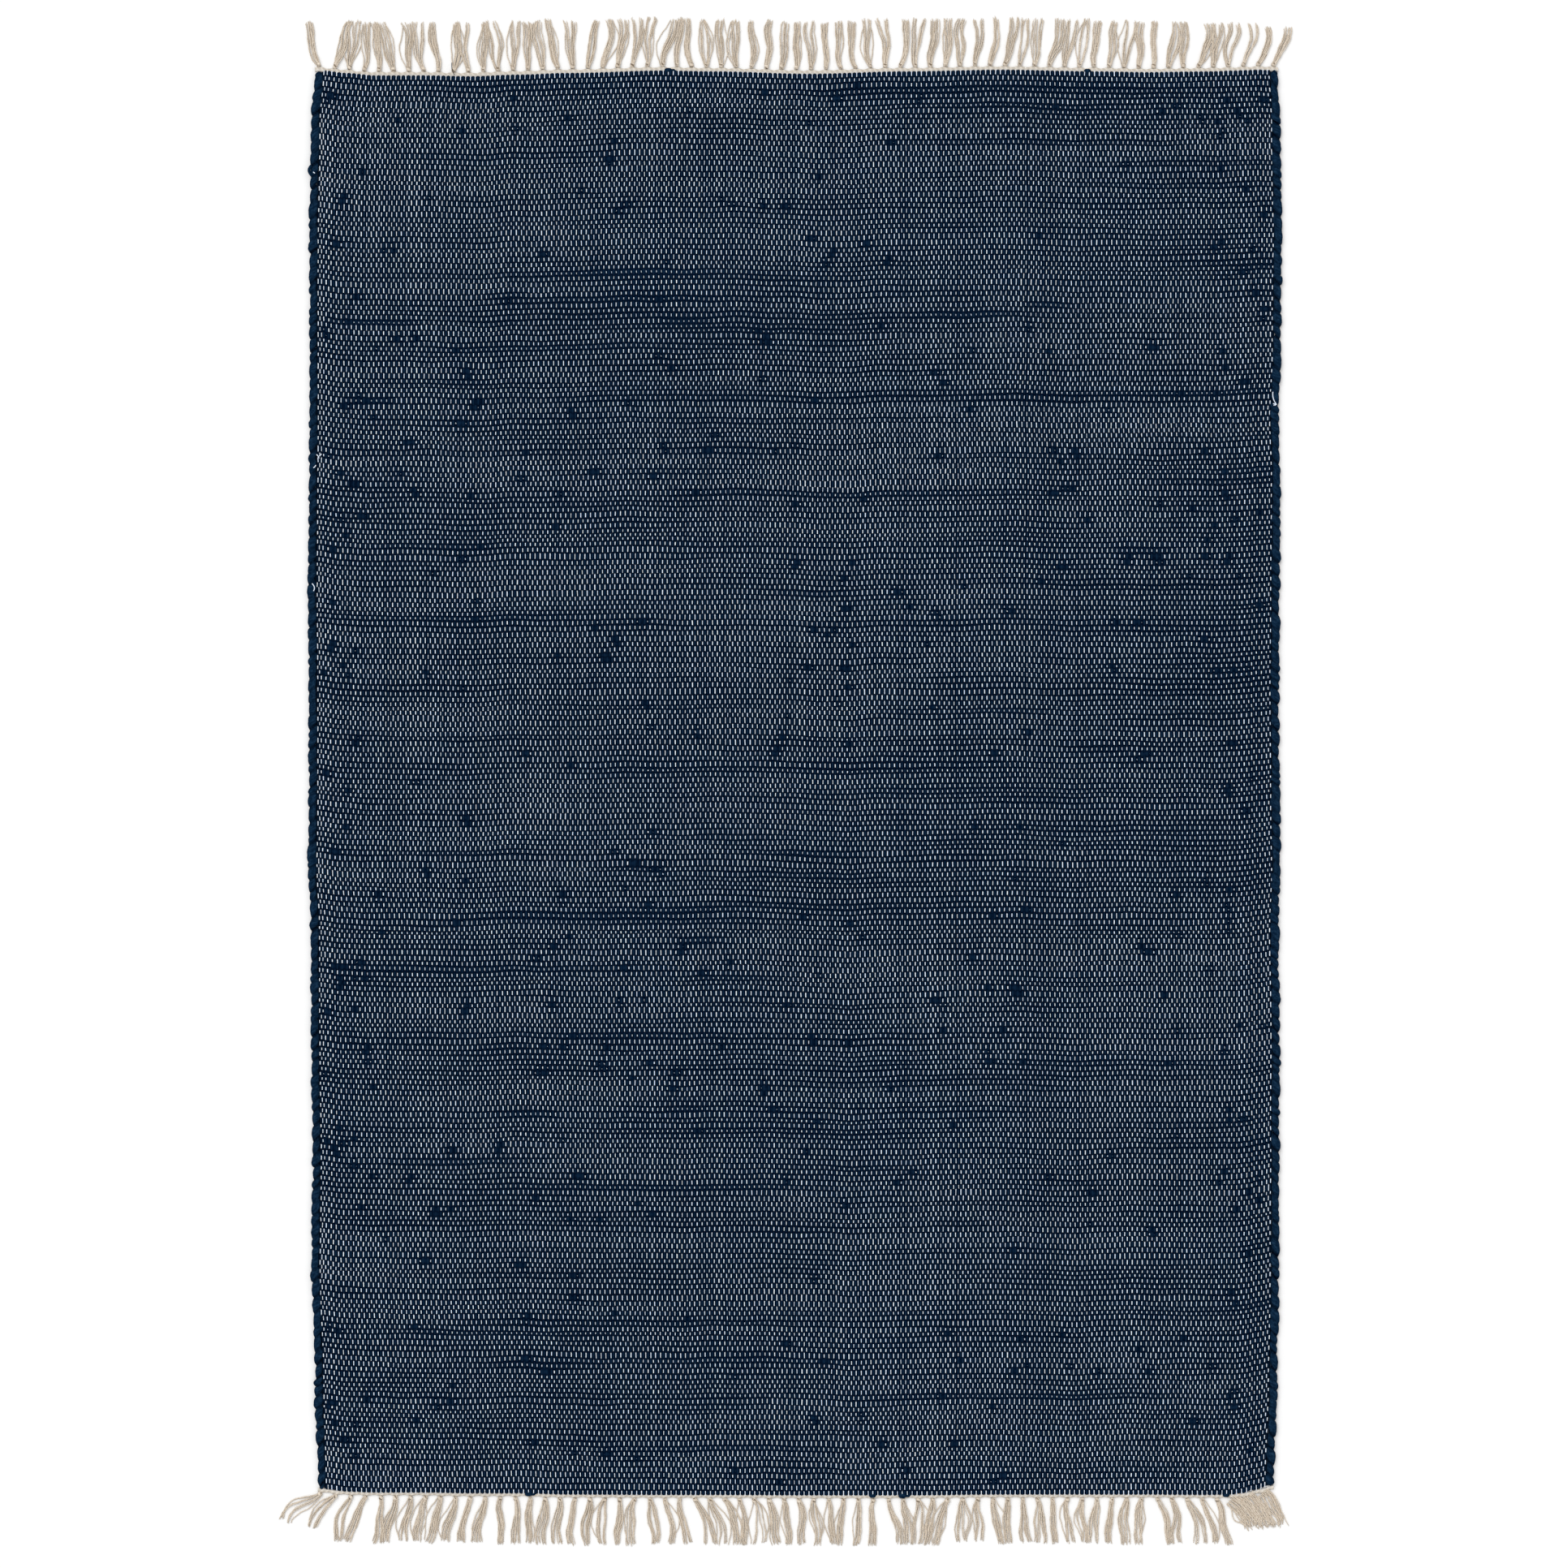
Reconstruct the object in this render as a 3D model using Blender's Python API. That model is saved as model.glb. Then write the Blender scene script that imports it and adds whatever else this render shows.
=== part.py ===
"""Cotton rag rug, about 120 by 180 cm: a navy rag weave with a knotted cream fringe at each end.

Metres, +Z up. The rug lies on the plane z = 0 with its length along Y and its head end at +Y.
It is made of three pieces: the cloth with its two rolled selvedges, and at each end the cream
heading with its tassels, which is parted from the cloth by a hairline gap.
"""
import bmesh
import bpy
import math
from collections import namedtuple

import numpy as np

# Cloth
CLOTH_WIDTH = 1.199
CLOTH_LENGTH = 1.756
ROW_COUNT = 272
VALLEY_HEIGHT = 0.0034
CREST_HEIGHT = 0.0052
ROW_VARIATION = 0.14
ROW_TILT = 0.03
SEED = 7

# Rolled selvedge, whose lumps are each a few rows long
SELVEDGE_HEIGHT = 0.0062
SELVEDGE_SIDE_HEIGHT = 0.0030
LUMP_ROWS = 3.0
LUMP_DEPTH = 0.0011
LUMP_LIFT = 0.18
LEFT_LUMP_PHASE = 0.4
RIGHT_LUMP_PHASE = 1.9

# Lines that run the length of the cloth: inset from the nearer edge, and how far each end of the
# line is drawn in from the straight head or foot
Column = namedtuple("Column", "side inset kind head_in foot_in")
COLUMNS = (
    Column("left", 0.0000, "edge", 0.0035, 0.0100),
    Column("left", 0.0042, "roll", 0.0020, 0.0085),
    Column("left", 0.0100, "foot", 0.0025, 0.0070),
    Column("left", 0.0650, "flat", 0.0065, 0.0030),
    Column("right", 0.0700, "flat", 0.0020, 0.0000),
    Column("right", 0.0100, "foot", 0.0005, 0.0075),
    Column("right", 0.0042, "roll", 0.0000, 0.0090),
    Column("right", 0.0000, "edge", 0.0020, 0.0110),
)

# How far each long edge draws in from the widest line, down the rug
EdgeStation = namedtuple("EdgeStation", "from_head left_in right_in")
EDGE_STATIONS = (
    EdgeStation(0.000, 0.0090, 0.0060),
    EdgeStation(0.070, 0.0040, 0.0010),
    EdgeStation(0.215, 0.0020, 0.0000),
    EdgeStation(0.355, 0.0030, 0.0010),
    EdgeStation(0.495, 0.0020, 0.0000),
    EdgeStation(0.635, 0.0000, 0.0030),
    EdgeStation(0.775, 0.0000, 0.0030),
    EdgeStation(0.915, 0.0020, 0.0040),
    EdgeStation(1.055, 0.0040, 0.0050),
    EdgeStation(1.195, 0.0040, 0.0020),
    EdgeStation(1.335, 0.0060, 0.0040),
    EdgeStation(1.475, 0.0040, 0.0030),
    EdgeStation(1.615, 0.0080, 0.0060),
    EdgeStation(1.756, 0.0130, 0.0120),
)

# Heading, whose inner edge follows the end of the cloth
CLOTH_GAP = 0.0003
HEADING_HEIGHT = 0.0030
HEADING_OVERHANG = 0.0008
CLEARANCE_SAMPLES = 9
OUTER_WALL_FACING = 0.7

# Tassels: their knots, the least distance between tips, and how much chance moves each tip
ROOT_WIDTH = 0.0060
TIP_SPACING = 0.0106
LEAN_JITTER = 0.0012
REACH_JITTER = 0.0022

# Sideways lean at the knot, where 1 would be a straight strand
LEAN_START = 1.6

# Sections along a tassel, from its knot to its tip
Ring = namedtuple("Ring", "along width height")
TASSEL_RINGS = (
    Ring(0.06, 0.0074, 0.0046),
    Ring(0.14, 0.0058, 0.0032),
    Ring(0.50, 0.0094, 0.0032),
    Ring(1.00, 0.0086, 0.0018),
)

# Neighbouring tassels lie in bunches: how many, the sideways lean of the first and last tip, and
# how far the tips reach past the heading
Bunch = namedtuple("Bunch", "tassels first_lean last_lean reach")
HEAD_BUNCHES = (
    Bunch(1, -0.012, -0.012, 0.055),
    Bunch(2, 0.017, 0.001, 0.059),
    Bunch(3, 0.004, -0.017, 0.060),
    Bunch(3, -0.004, -0.008, 0.060),
    Bunch(2, 0.003, -0.008, 0.061),
    Bunch(2, 0.001, -0.009, 0.061),
    Bunch(4, 0.004, -0.012, 0.060),
    Bunch(1, -0.004, -0.004, 0.060),
    Bunch(5, 0.010, 0.005, 0.060),
    Bunch(3, 0.016, -0.008, 0.059),
    Bunch(4, -0.004, 0.000, 0.059),
    Bunch(2, 0.005, 0.005, 0.059),
    Bunch(5, 0.000, -0.004, 0.059),
    Bunch(2, -0.004, -0.004, 0.059),
    Bunch(5, 0.008, 0.002, 0.059),
    Bunch(3, 0.005, 0.012, 0.059),
    Bunch(2, 0.007, 0.005, 0.057),
    Bunch(3, 0.015, 0.009, 0.058),
    Bunch(3, 0.005, 0.009, 0.058),
    Bunch(2, 0.003, 0.002, 0.056),
    Bunch(2, 0.009, 0.001, 0.057),
    Bunch(2, 0.013, 0.007, 0.055),
    Bunch(2, 0.008, 0.013, 0.053),
    Bunch(2, 0.013, 0.020, 0.048),
)
FOOT_BUNCHES = (
    Bunch(1, -0.045, -0.045, 0.034),
    Bunch(1, -0.030, -0.030, 0.041),
    Bunch(2, -0.017, -0.024, 0.057),
    Bunch(2, -0.005, -0.015, 0.057),
    Bunch(3, -0.008, -0.015, 0.056),
    Bunch(3, -0.013, -0.012, 0.055),
    Bunch(3, 0.001, -0.002, 0.057),
    Bunch(5, -0.006, -0.002, 0.057),
    Bunch(2, -0.003, -0.004, 0.057),
    Bunch(3, 0.006, 0.010, 0.055),
    Bunch(3, 0.018, 0.014, 0.056),
    Bunch(2, 0.005, 0.005, 0.057),
    Bunch(3, 0.009, 0.003, 0.056),
    Bunch(2, 0.005, 0.005, 0.056),
    Bunch(3, -0.006, -0.001, 0.056),
    Bunch(5, 0.015, -0.016, 0.056),
    Bunch(2, -0.002, 0.001, 0.053),
    Bunch(2, 0.012, -0.003, 0.055),
    Bunch(5, 0.005, 0.003, 0.055),
    Bunch(4, -0.004, -0.002, 0.056),
    Bunch(2, 0.015, 0.005, 0.056),
    Bunch(3, 0.017, 0.017, 0.056),
    Bunch(3, 0.028, 0.027, 0.042),
)

# Each end of the rug: which way it faces, its heading depth, and its first and last knot
# measured in from the widest line
End = namedtuple("End", "name outward heading_depth left_root right_root seed bunches")
ENDS = (
    End("fringe_head", 1.0, 0.0060, 0.0130, 0.0105, 11, HEAD_BUNCHES),
    End("fringe_foot", -1.0, 0.0050, 0.0155, 0.0246, 12, FOOT_BUNCHES),
)

# Finishes: linear colour and roughness
NAVY_COTTON = ((0.028, 0.046, 0.082), 0.92)
CREAM_COTTON = ((0.56, 0.49, 0.41), 0.94)

Tassel = namedtuple("Tassel", "root lean reach outward")


def clear_scene():
    for old in list(bpy.data.objects):
        bpy.data.objects.remove(old, do_unlink=True)


def cotton(name, finish):
    colour, roughness = finish
    material = bpy.data.materials.new(name)
    material.use_nodes = True
    shader = material.node_tree.nodes["Principled BSDF"]
    shader.inputs["Base Color"].default_value = (*colour, 1.0)
    shader.inputs["Roughness"].default_value = roughness
    shader.inputs["Metallic"].default_value = 0.0
    material.diffuse_color = (*colour, 1.0)
    return material


def row_lines():
    """Place of each valley and crest along the cloth, 0 at the head to 1 at the foot.

    Gives one value at the left edge and one at the right, so that rows run slightly aslant.
    """
    rng = np.random.default_rng(SEED)
    thickness = 1.0 + ROW_VARIATION * rng.uniform(-1.0, 1.0, (ROW_COUNT, 1))
    tilt = ROW_TILT * rng.uniform(-1.0, 1.0, (ROW_COUNT, 1)) * np.array((-1.0, 1.0))
    rows = thickness + tilt
    valleys = np.vstack((np.zeros((1, 2)), np.cumsum(rows, axis=0)))
    valleys /= valleys[-1]
    lines = np.empty((2 * ROW_COUNT + 1, 2))
    lines[0::2] = valleys
    lines[1::2] = 0.5 * (valleys[:-1] + valleys[1:])
    return lines


def column_height(kind, rib, lump):
    """Height of one lengthwise line: rib is 0 in a valley and 1 on a crest, and lump likewise."""
    flat = VALLEY_HEIGHT + (CREST_HEIGHT - VALLEY_HEIGHT) * rib
    lift = 1.0 - LUMP_LIFT + LUMP_LIFT * lump
    heights = {
        "edge": SELVEDGE_SIDE_HEIGHT * lift,
        "roll": SELVEDGE_HEIGHT * lift,
        "foot": 0.5 * (VALLEY_HEIGHT + flat),
        "flat": flat,
    }
    return heights[kind]


def cloth_points():
    """Top surface of the cloth as an array of lines across the rug by columns along it."""
    lines = row_lines()
    line_index = np.arange(len(lines))
    rib = (line_index % 2).astype(float)
    stations = np.array(EDGE_STATIONS)
    points = np.empty((len(lines), len(COLUMNS), 3))
    for place, column in enumerate(COLUMNS):
        left = column.side == "left"
        along = lines[:, 0] if left else lines[:, 1]
        head = CLOTH_LENGTH / 2 - column.head_in
        foot = -CLOTH_LENGTH / 2 + column.foot_in
        phase = LEFT_LUMP_PHASE if left else RIGHT_LUMP_PHASE
        lump = np.abs(np.sin(math.pi * line_index / (2.0 * LUMP_ROWS) + phase))
        drawn_in = np.interp(along * CLOTH_LENGTH, stations[:, 0], stations[:, 1 if left else 2])
        edge_lump = LUMP_DEPTH * (1.0 - lump) if column.kind == "edge" else 0.0
        inset = drawn_in + column.inset + edge_lump
        points[:, place, 0] = (-1.0 if left else 1.0) * (CLOTH_WIDTH / 2 - inset)
        points[:, place, 1] = head + (foot - head) * along
        points[:, place, 2] = column_height(column.kind, rib, lump)
    return points


def grid(bm, points):
    """Grid of quads through an array of points, one row of vertices for each row of the array."""
    rows, columns = points.shape[:2]
    made = bmesh.ops.create_grid(bm, x_segments=columns - 1, y_segments=rows - 1, size=1.0)
    for vert, point in zip(made["verts"], points.reshape(-1, 3)):
        vert.co = point


def new_piece(name, bm, material, collection):
    bmesh.ops.recalc_face_normals(bm, faces=bm.faces[:])
    mesh = bpy.data.meshes.new(name)
    bm.to_mesh(mesh)
    bm.free()
    mesh.materials.append(material)
    piece = bpy.data.objects.new(name, mesh)
    collection.objects.link(piece)
    return piece


def rug_cloth(points, material, collection):
    """The ribbed top, walls down to the floor round its rim, and one flat underside."""
    bm = bmesh.new()
    grid(bm, points)
    rim = [edge for edge in bm.edges if edge.is_boundary]
    walls = bmesh.ops.extrude_edge_only(bm, edges=rim)["geom"]
    for item in walls:
        if isinstance(item, bmesh.types.BMVert):
            item.co.z = 0.0
    lower_rim = [edge for edge in bm.edges if edge.is_boundary]
    bmesh.ops.holes_fill(bm, edges=lower_rim, sides=0)
    return new_piece("rug_body", bm, material, collection)


def tassel_row(end, outer_line):
    """Knots evenly spaced along the heading, with tips kept in order and clear of each other."""
    rng = np.random.default_rng(end.seed)
    leans = []
    reaches = []
    for bunch in end.bunches:
        leans.extend(np.linspace(bunch.first_lean, bunch.last_lean, bunch.tassels))
        reaches.extend([bunch.reach] * bunch.tassels)
    first = -CLOTH_WIDTH / 2 + end.left_root
    last = CLOTH_WIDTH / 2 - end.right_root
    tassels = []
    tip_limit = -CLOTH_WIDTH
    for x, lean, reach in zip(np.linspace(first, last, len(leans)), leans, reaches):
        tip = max(x + lean + rng.uniform(-LEAN_JITTER, LEAN_JITTER), tip_limit)
        tip_limit = tip + TIP_SPACING
        reach = reach + rng.uniform(-REACH_JITTER, 0.0)
        root = np.array((x, np.interp(x, outer_line[:, 0], outer_line[:, 1])))
        tassels.append(Tassel(root, tip - x, reach, end.outward))
    return tassels


def tassel_place(tassel, along):
    """Point on a tassel's middle line, and its direction across the strand.

    The sideways lean grows quickly at the knot and slowly at the tip, so a tassel straightens out.
    """
    ease = along * (LEAN_START - (LEAN_START - 1.0) * along)
    slope = LEAN_START - 2.0 * (LEAN_START - 1.0) * along
    point = tassel.root + np.array((tassel.lean * ease, tassel.outward * tassel.reach * along))
    run = np.array((tassel.lean * slope, tassel.outward * tassel.reach))
    run /= np.linalg.norm(run)
    across = np.array((run[1], -run[0])) * tassel.outward
    return point, across


def move_ring(face, tassel, ring):
    """Carry the four corners of a tassel's end face to their places in the next section."""
    middle = face.calc_center_median()
    point, across = tassel_place(tassel, ring.along)
    for vert in face.verts:
        side = 0.5 if vert.co.x > middle.x else -0.5
        x, y = point + across * side * ring.width
        vert.co = (x, y, ring.height if vert.co.z > middle.z else 0.0)


def clear_of_cloth(xs, end_line, outward):
    """Y of the heading's inner edge: a gap beyond the cloth's furthest point within half a knot."""
    nearby = xs[:, None] + np.linspace(-ROOT_WIDTH / 2, ROOT_WIDTH / 2, CLEARANCE_SAMPLES)
    furthest = (outward * np.interp(nearby, end_line[:, 0], end_line[:, 1])).max(axis=1)
    return outward * (furthest + CLOTH_GAP)


def fringe(end, end_line, material, collection):
    """Heading strip along one end of the cloth, with a knotted tassel out of every knot place."""
    left = end_line[0, 0] - HEADING_OVERHANG
    right = end_line[-1, 0] + HEADING_OVERHANG
    outer_line = end_line + (0.0, end.outward * (CLOTH_GAP + end.heading_depth), 0.0)
    tassels = tassel_row(end, outer_line)
    roots = np.array([tassel.root[0] for tassel in tassels])
    bends = [x for x in end_line[1:-1, 0] if np.abs(roots - x).min() > 0.6 * ROOT_WIDTH]
    xs = np.sort([left, *(roots - ROOT_WIDTH / 2), *(roots + ROOT_WIDTH / 2), *bends, right])
    inner = clear_of_cloth(xs, end_line, end.outward)
    points = np.empty((2, len(xs), 3))
    points[:, :, 0] = xs
    points[0, :, 1] = inner
    points[1, :, 1] = inner + end.outward * end.heading_depth
    points[:, :, 2] = HEADING_HEIGHT

    bm = bmesh.new()
    grid(bm, points)
    lower = bmesh.ops.extrude_face_region(bm, geom=bm.faces[:])["geom"]
    for item in lower:
        if isinstance(item, bmesh.types.BMVert):
            item.co.z = 0.0
    bmesh.ops.recalc_face_normals(bm, faces=bm.faces[:])
    outer_wall = [f for f in bm.faces if f.normal.y * end.outward > OUTER_WALL_FACING]
    wall_places = np.array([face.calc_center_median().x for face in outer_wall])
    tips = [outer_wall[np.abs(wall_places - root).argmin()] for root in roots]
    for ring in TASSEL_RINGS:
        tips = bmesh.ops.extrude_discrete_faces(bm, faces=tips)["faces"]
        tips.sort(key=lambda face: face.calc_center_median().x)
        for face, tassel in zip(tips, tassels):
            move_ring(face, tassel, ring)
    return new_piece(end.name, bm, material, collection)


def centre_on_origin(pieces):
    """Shift every piece by the same amount, so that the whole rug is centred on X = Y = 0."""
    corners = np.vstack([[vert.co for vert in piece.data.vertices] for piece in pieces])
    middle = 0.5 * (corners.min(axis=0) + corners.max(axis=0))
    for piece in pieces:
        piece.location = (-middle[0], -middle[1], 0.0)


def main():
    clear_scene()
    collection = bpy.data.collections.new("cotton_rug")
    bpy.context.scene.collection.children.link(collection)
    navy = cotton("navy_rag_cotton", NAVY_COTTON)
    cream = cotton("cream_cotton", CREAM_COTTON)
    points = cloth_points()
    pieces = [rug_cloth(points, navy, collection)]
    for end in ENDS:
        end_line = points[0] if end.outward > 0 else points[-1]
        pieces.append(fringe(end, end_line, cream, collection))
    centre_on_origin(pieces)


main()
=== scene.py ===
"""Looks of the cotton rag rug: navy rag rows, cream warp floats, rolled selvedges and tassels.

Cloth coordinates have their origin at the middle of the cloth, X across it and Y towards the head.
Every mesh is worked out in them and moved into the part's frame as it is made.
"""

from collections import namedtuple

import bpy
import numpy as np
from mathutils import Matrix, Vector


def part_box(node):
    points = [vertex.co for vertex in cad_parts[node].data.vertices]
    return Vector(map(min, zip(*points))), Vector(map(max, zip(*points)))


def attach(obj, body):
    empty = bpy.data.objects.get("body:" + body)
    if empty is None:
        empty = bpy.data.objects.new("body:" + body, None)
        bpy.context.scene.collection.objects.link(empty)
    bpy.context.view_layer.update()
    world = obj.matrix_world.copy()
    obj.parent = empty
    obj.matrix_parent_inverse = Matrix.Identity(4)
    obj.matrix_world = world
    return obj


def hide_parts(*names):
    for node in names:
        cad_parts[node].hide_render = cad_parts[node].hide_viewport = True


TAU = 2.0 * np.pi

# Photograph's frame: its width on the rug, and its middle from the middle of the cloth
PHOTO_WIDTH = 1.931
PHOTO_MIDDLE = (-0.0142, -0.0020)
LENS = 85.0
SENSOR = 36.0

# Weave
ROWS = 272
WARPS = 384
STRIPS = 4
EDGE_WARPS = 3
EDGE_WARP_SPACING = 0.68
VALLEY_HEIGHT = 0.0041
GROOVE_HEIGHT = 0.0037
PILLOW_HEIGHT = 0.0053
HEM_HEIGHT = 0.0024
HEM_TUCK = 0.0016
WARP_WANDER = 0.00040
WARP_JITTER = 0.00011
REED_MARKS = 0.00022
END_SCALLOP = 0.0008

# Unevenness of the rows: shares of a row's thickness, and how hard each row is beaten level
ROW_NOISE = 0.20
STRETCH_NOISE = 0.15
PATCH_NOISE = 0.11
BEAT_ROWS = 11
BEAT_LEVELLING = 0.97
RUN_THICKENING = 0.10
RUN_COVER = 0.85
VALLEY_COVER = 0.7

# How unevenly the rag lets the floats show: the share by which it varies, over how many rows, and
# over how many stretches across the rug
Showing = namedtuple("Showing", "share rows stretches")
SHOWING = (
    Showing(0.13, 1, 2),
    Showing(0.14, 1, 18),
    Showing(0.09, 4, 1),
    Showing(0.14, 5, 12),
    Showing(0.09, 13, 2),
    Showing(0.08, 34, 3),
)

# Warp floats
FLOAT_WIDTH = 0.00099
WARP_UNEVENNESS = 0.16
FLOAT_HEIGHT = 0.0051
FLOAT_SHOULDER_DIP = 0.0006
FLOAT_END_DIP = 0.0017
END_FLOAT = 0.0010
SHORTEST_FLOAT = 0.0006

# Slubs, where a join in the rag hides a few floats
SLUBS = 430
SLUB_WARPS = 0.86
SLUB_LIFT = 0.0006
LEAST_SLUB = 0.50
EDGE_SLUB_SHARE = 0.18
EDGE_SLUB_REACH = 24

# Rolled selvedge
ROLL_WIDTH = 0.0100
ROLL_HEIGHT = 0.0062
ROLL_SIDES = 12
ROLL_STEPS_PER_ROW = 4
ROLL_SQUARENESS = 0.72
LUMP_ROWS = 2.35
LUMP_SLANT = 0.22
LEAST_CREASE = 0.40
ROLL_END_ROWS = 1.4

# How far each long edge draws in from the widest line, down the rug
EdgeStation = namedtuple("EdgeStation", "from_head left_in right_in")
EDGE_STATIONS = (
    EdgeStation(0.000, 0.0078, 0.0040),
    EdgeStation(0.070, 0.0030, 0.0015),
    EdgeStation(0.215, 0.0008, -0.0005),
    EdgeStation(0.355, 0.0011, 0.0008),
    EdgeStation(0.430, 0.0010, 0.0035),
    EdgeStation(0.495, 0.0005, 0.0014),
    EdgeStation(0.635, -0.0007, 0.0022),
    EdgeStation(0.775, 0.0003, 0.0030),
    EdgeStation(0.915, 0.0005, 0.0020),
    EdgeStation(0.980, -0.0007, 0.0012),
    EdgeStation(1.055, 0.0022, 0.0035),
    EdgeStation(1.195, 0.0030, 0.0020),
    EdgeStation(1.335, 0.0048, 0.0025),
    EdgeStation(1.475, 0.0035, 0.0027),
    EdgeStation(1.615, 0.0075, 0.0050),
    EdgeStation(1.756, 0.0112, 0.0095),
)

# How far the head and the foot of the cloth draw in from a straight line, across the rug
EndStation = namedtuple("EndStation", "from_left head_in foot_in")
END_STATIONS = (
    EndStation(0.000, 0.0030, 0.0100),
    EndStation(0.010, 0.0010, 0.0075),
    EndStation(0.040, 0.0040, 0.0040),
    EndStation(0.075, 0.0070, 0.0030),
    EndStation(0.135, 0.0070, 0.0030),
    EndStation(0.195, 0.0080, 0.0020),
    EndStation(0.255, 0.0060, 0.0020),
    EndStation(0.315, 0.0040, 0.0005),
    EndStation(0.435, 0.0010, 0.0000),
    EndStation(0.495, 0.0020, 0.0000),
    EndStation(0.615, 0.0050, -0.0005),
    EndStation(0.735, 0.0020, -0.0005),
    EndStation(0.855, 0.0000, 0.0005),
    EndStation(0.975, 0.0020, 0.0005),
    EndStation(1.035, 0.0030, 0.0005),
    EndStation(1.115, 0.0020, 0.0000),
    EndStation(1.145, 0.0010, 0.0005),
    EndStation(1.160, 0.0005, 0.0025),
    EndStation(1.172, 0.0000, 0.0060),
    EndStation(1.199, 0.0010, 0.0130),
)

# Rows that lie thick and dark for a stretch, with few warp floats showing
DarkRun = namedtuple("DarkRun", "from_head from_left length strength")
DARK_RUNS = (
    DarkRun(0.247, 0.060, 0.520, 0.40),
    DarkRun(0.248, 0.273, 0.254, 0.75),
    DarkRun(0.285, 0.880, 0.070, 0.70),
    DarkRun(0.299, 0.720, 0.180, 0.75),
    DarkRun(0.303, 0.005, 1.185, 0.42),
    DarkRun(0.304, 0.427, 0.066, 0.80),
    DarkRun(0.307, 0.010, 0.120, 0.85),
    DarkRun(0.310, 0.270, 0.460, 0.50),
    DarkRun(0.395, 1.040, 0.100, 0.65),
    DarkRun(0.401, 0.060, 1.120, 0.40),
    DarkRun(0.402, 0.035, 0.065, 0.75),
    DarkRun(0.790, 0.800, 0.120, 0.55),
)
CHANCE_RUNS = 170

# Tassels: knots, least distance between tips, and chance in each tip's place
TIP_SPACING = 0.0078
LEAN_JITTER = 0.0012
REACH_JITTER = 0.0022
LEAN_START = 1.6
CLOTH_GAP = 0.0003

# Neighbouring tassels lie in bunches: how many, the sideways lean of the first and last tip, and
# how far the tips reach past the heading
Bunch = namedtuple("Bunch", "tassels first_lean last_lean reach")
HEAD_BUNCHES = (
    Bunch(1, -0.012, -0.012, 0.055),
    Bunch(2, 0.017, 0.001, 0.059),
    Bunch(3, 0.004, -0.017, 0.060),
    Bunch(3, -0.004, -0.008, 0.060),
    Bunch(2, 0.003, -0.008, 0.061),
    Bunch(2, 0.001, -0.009, 0.061),
    Bunch(4, 0.004, -0.012, 0.060),
    Bunch(1, -0.004, -0.004, 0.060),
    Bunch(5, 0.010, 0.005, 0.060),
    Bunch(3, 0.016, -0.008, 0.059),
    Bunch(4, -0.004, 0.000, 0.059),
    Bunch(2, 0.005, 0.005, 0.059),
    Bunch(5, 0.000, -0.004, 0.059),
    Bunch(2, -0.004, -0.004, 0.059),
    Bunch(5, 0.008, 0.002, 0.059),
    Bunch(3, 0.005, 0.012, 0.059),
    Bunch(2, 0.007, 0.005, 0.057),
    Bunch(3, 0.015, 0.009, 0.058),
    Bunch(3, 0.005, 0.009, 0.058),
    Bunch(2, 0.003, 0.002, 0.056),
    Bunch(2, 0.009, 0.001, 0.057),
    Bunch(2, 0.013, 0.007, 0.055),
    Bunch(2, 0.008, 0.013, 0.053),
    Bunch(2, 0.013, 0.020, 0.048),
)
FOOT_BUNCHES = (
    Bunch(1, -0.045, -0.045, 0.034),
    Bunch(1, -0.030, -0.030, 0.041),
    Bunch(2, -0.017, -0.024, 0.057),
    Bunch(2, -0.005, -0.015, 0.057),
    Bunch(3, -0.008, -0.015, 0.056),
    Bunch(3, -0.013, -0.012, 0.055),
    Bunch(3, 0.001, -0.002, 0.057),
    Bunch(5, -0.006, -0.002, 0.057),
    Bunch(2, -0.003, -0.004, 0.057),
    Bunch(3, 0.006, 0.010, 0.055),
    Bunch(3, 0.018, 0.014, 0.056),
    Bunch(2, 0.005, 0.005, 0.057),
    Bunch(3, 0.009, 0.003, 0.056),
    Bunch(2, 0.005, 0.005, 0.056),
    Bunch(3, -0.006, -0.001, 0.056),
    Bunch(5, 0.015, -0.016, 0.056),
    Bunch(2, -0.002, 0.001, 0.053),
    Bunch(2, 0.012, -0.003, 0.055),
    Bunch(5, 0.005, 0.003, 0.055),
    Bunch(4, -0.004, -0.002, 0.056),
    Bunch(2, 0.015, 0.005, 0.056),
    Bunch(3, 0.017, 0.017, 0.056),
    Bunch(3, 0.031, 0.023, 0.041),
)

# Each end of the cloth: how deep its heading is, where its first and last knot lie, and how many
# tassels at its right have come undone
End = namedtuple("End", "name outward heading_depth left_root right_root seed undone bunches")
ENDS = (
    End("head", 1.0, 0.0060, 0.0130, 0.0105, 11, 0, HEAD_BUNCHES),
    End("foot", -1.0, 0.0050, 0.0155, 0.0246, 12, 3, FOOT_BUNCHES),
)

# Heading
HEADING_COLUMNS = 800
HEADING_HEIGHT = 0.0030
HEADING_TUCK = 0.0010
HEADING_SCALLOP = 0.28
TWINE_PITCH = 0.0062
TWINE_RELIEF = 0.00024

# Tassel yarns
YARNS = 10
YARN_RADIUS = 0.00079
YARN_STEPS = 12
YARN_SIDES = 4
YARN_LAYER = 0.0012
TASSEL_NECK = 0.0019
UNDONE_SPREAD = 0.0088
UNDONE_LAYERS = 3
KNOT_LIFT = 0.0010
FRAY_FIBRES = 3
FRAY_RADIUS = 0.00020
EGG_STEPS = 7
EGG_SIDES = 8
KNOT_RADII = (0.0030, 0.0028, 0.0020)
KNOT_AHEAD = 0.0018
KNOT_GROOVE = 0.2

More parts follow.
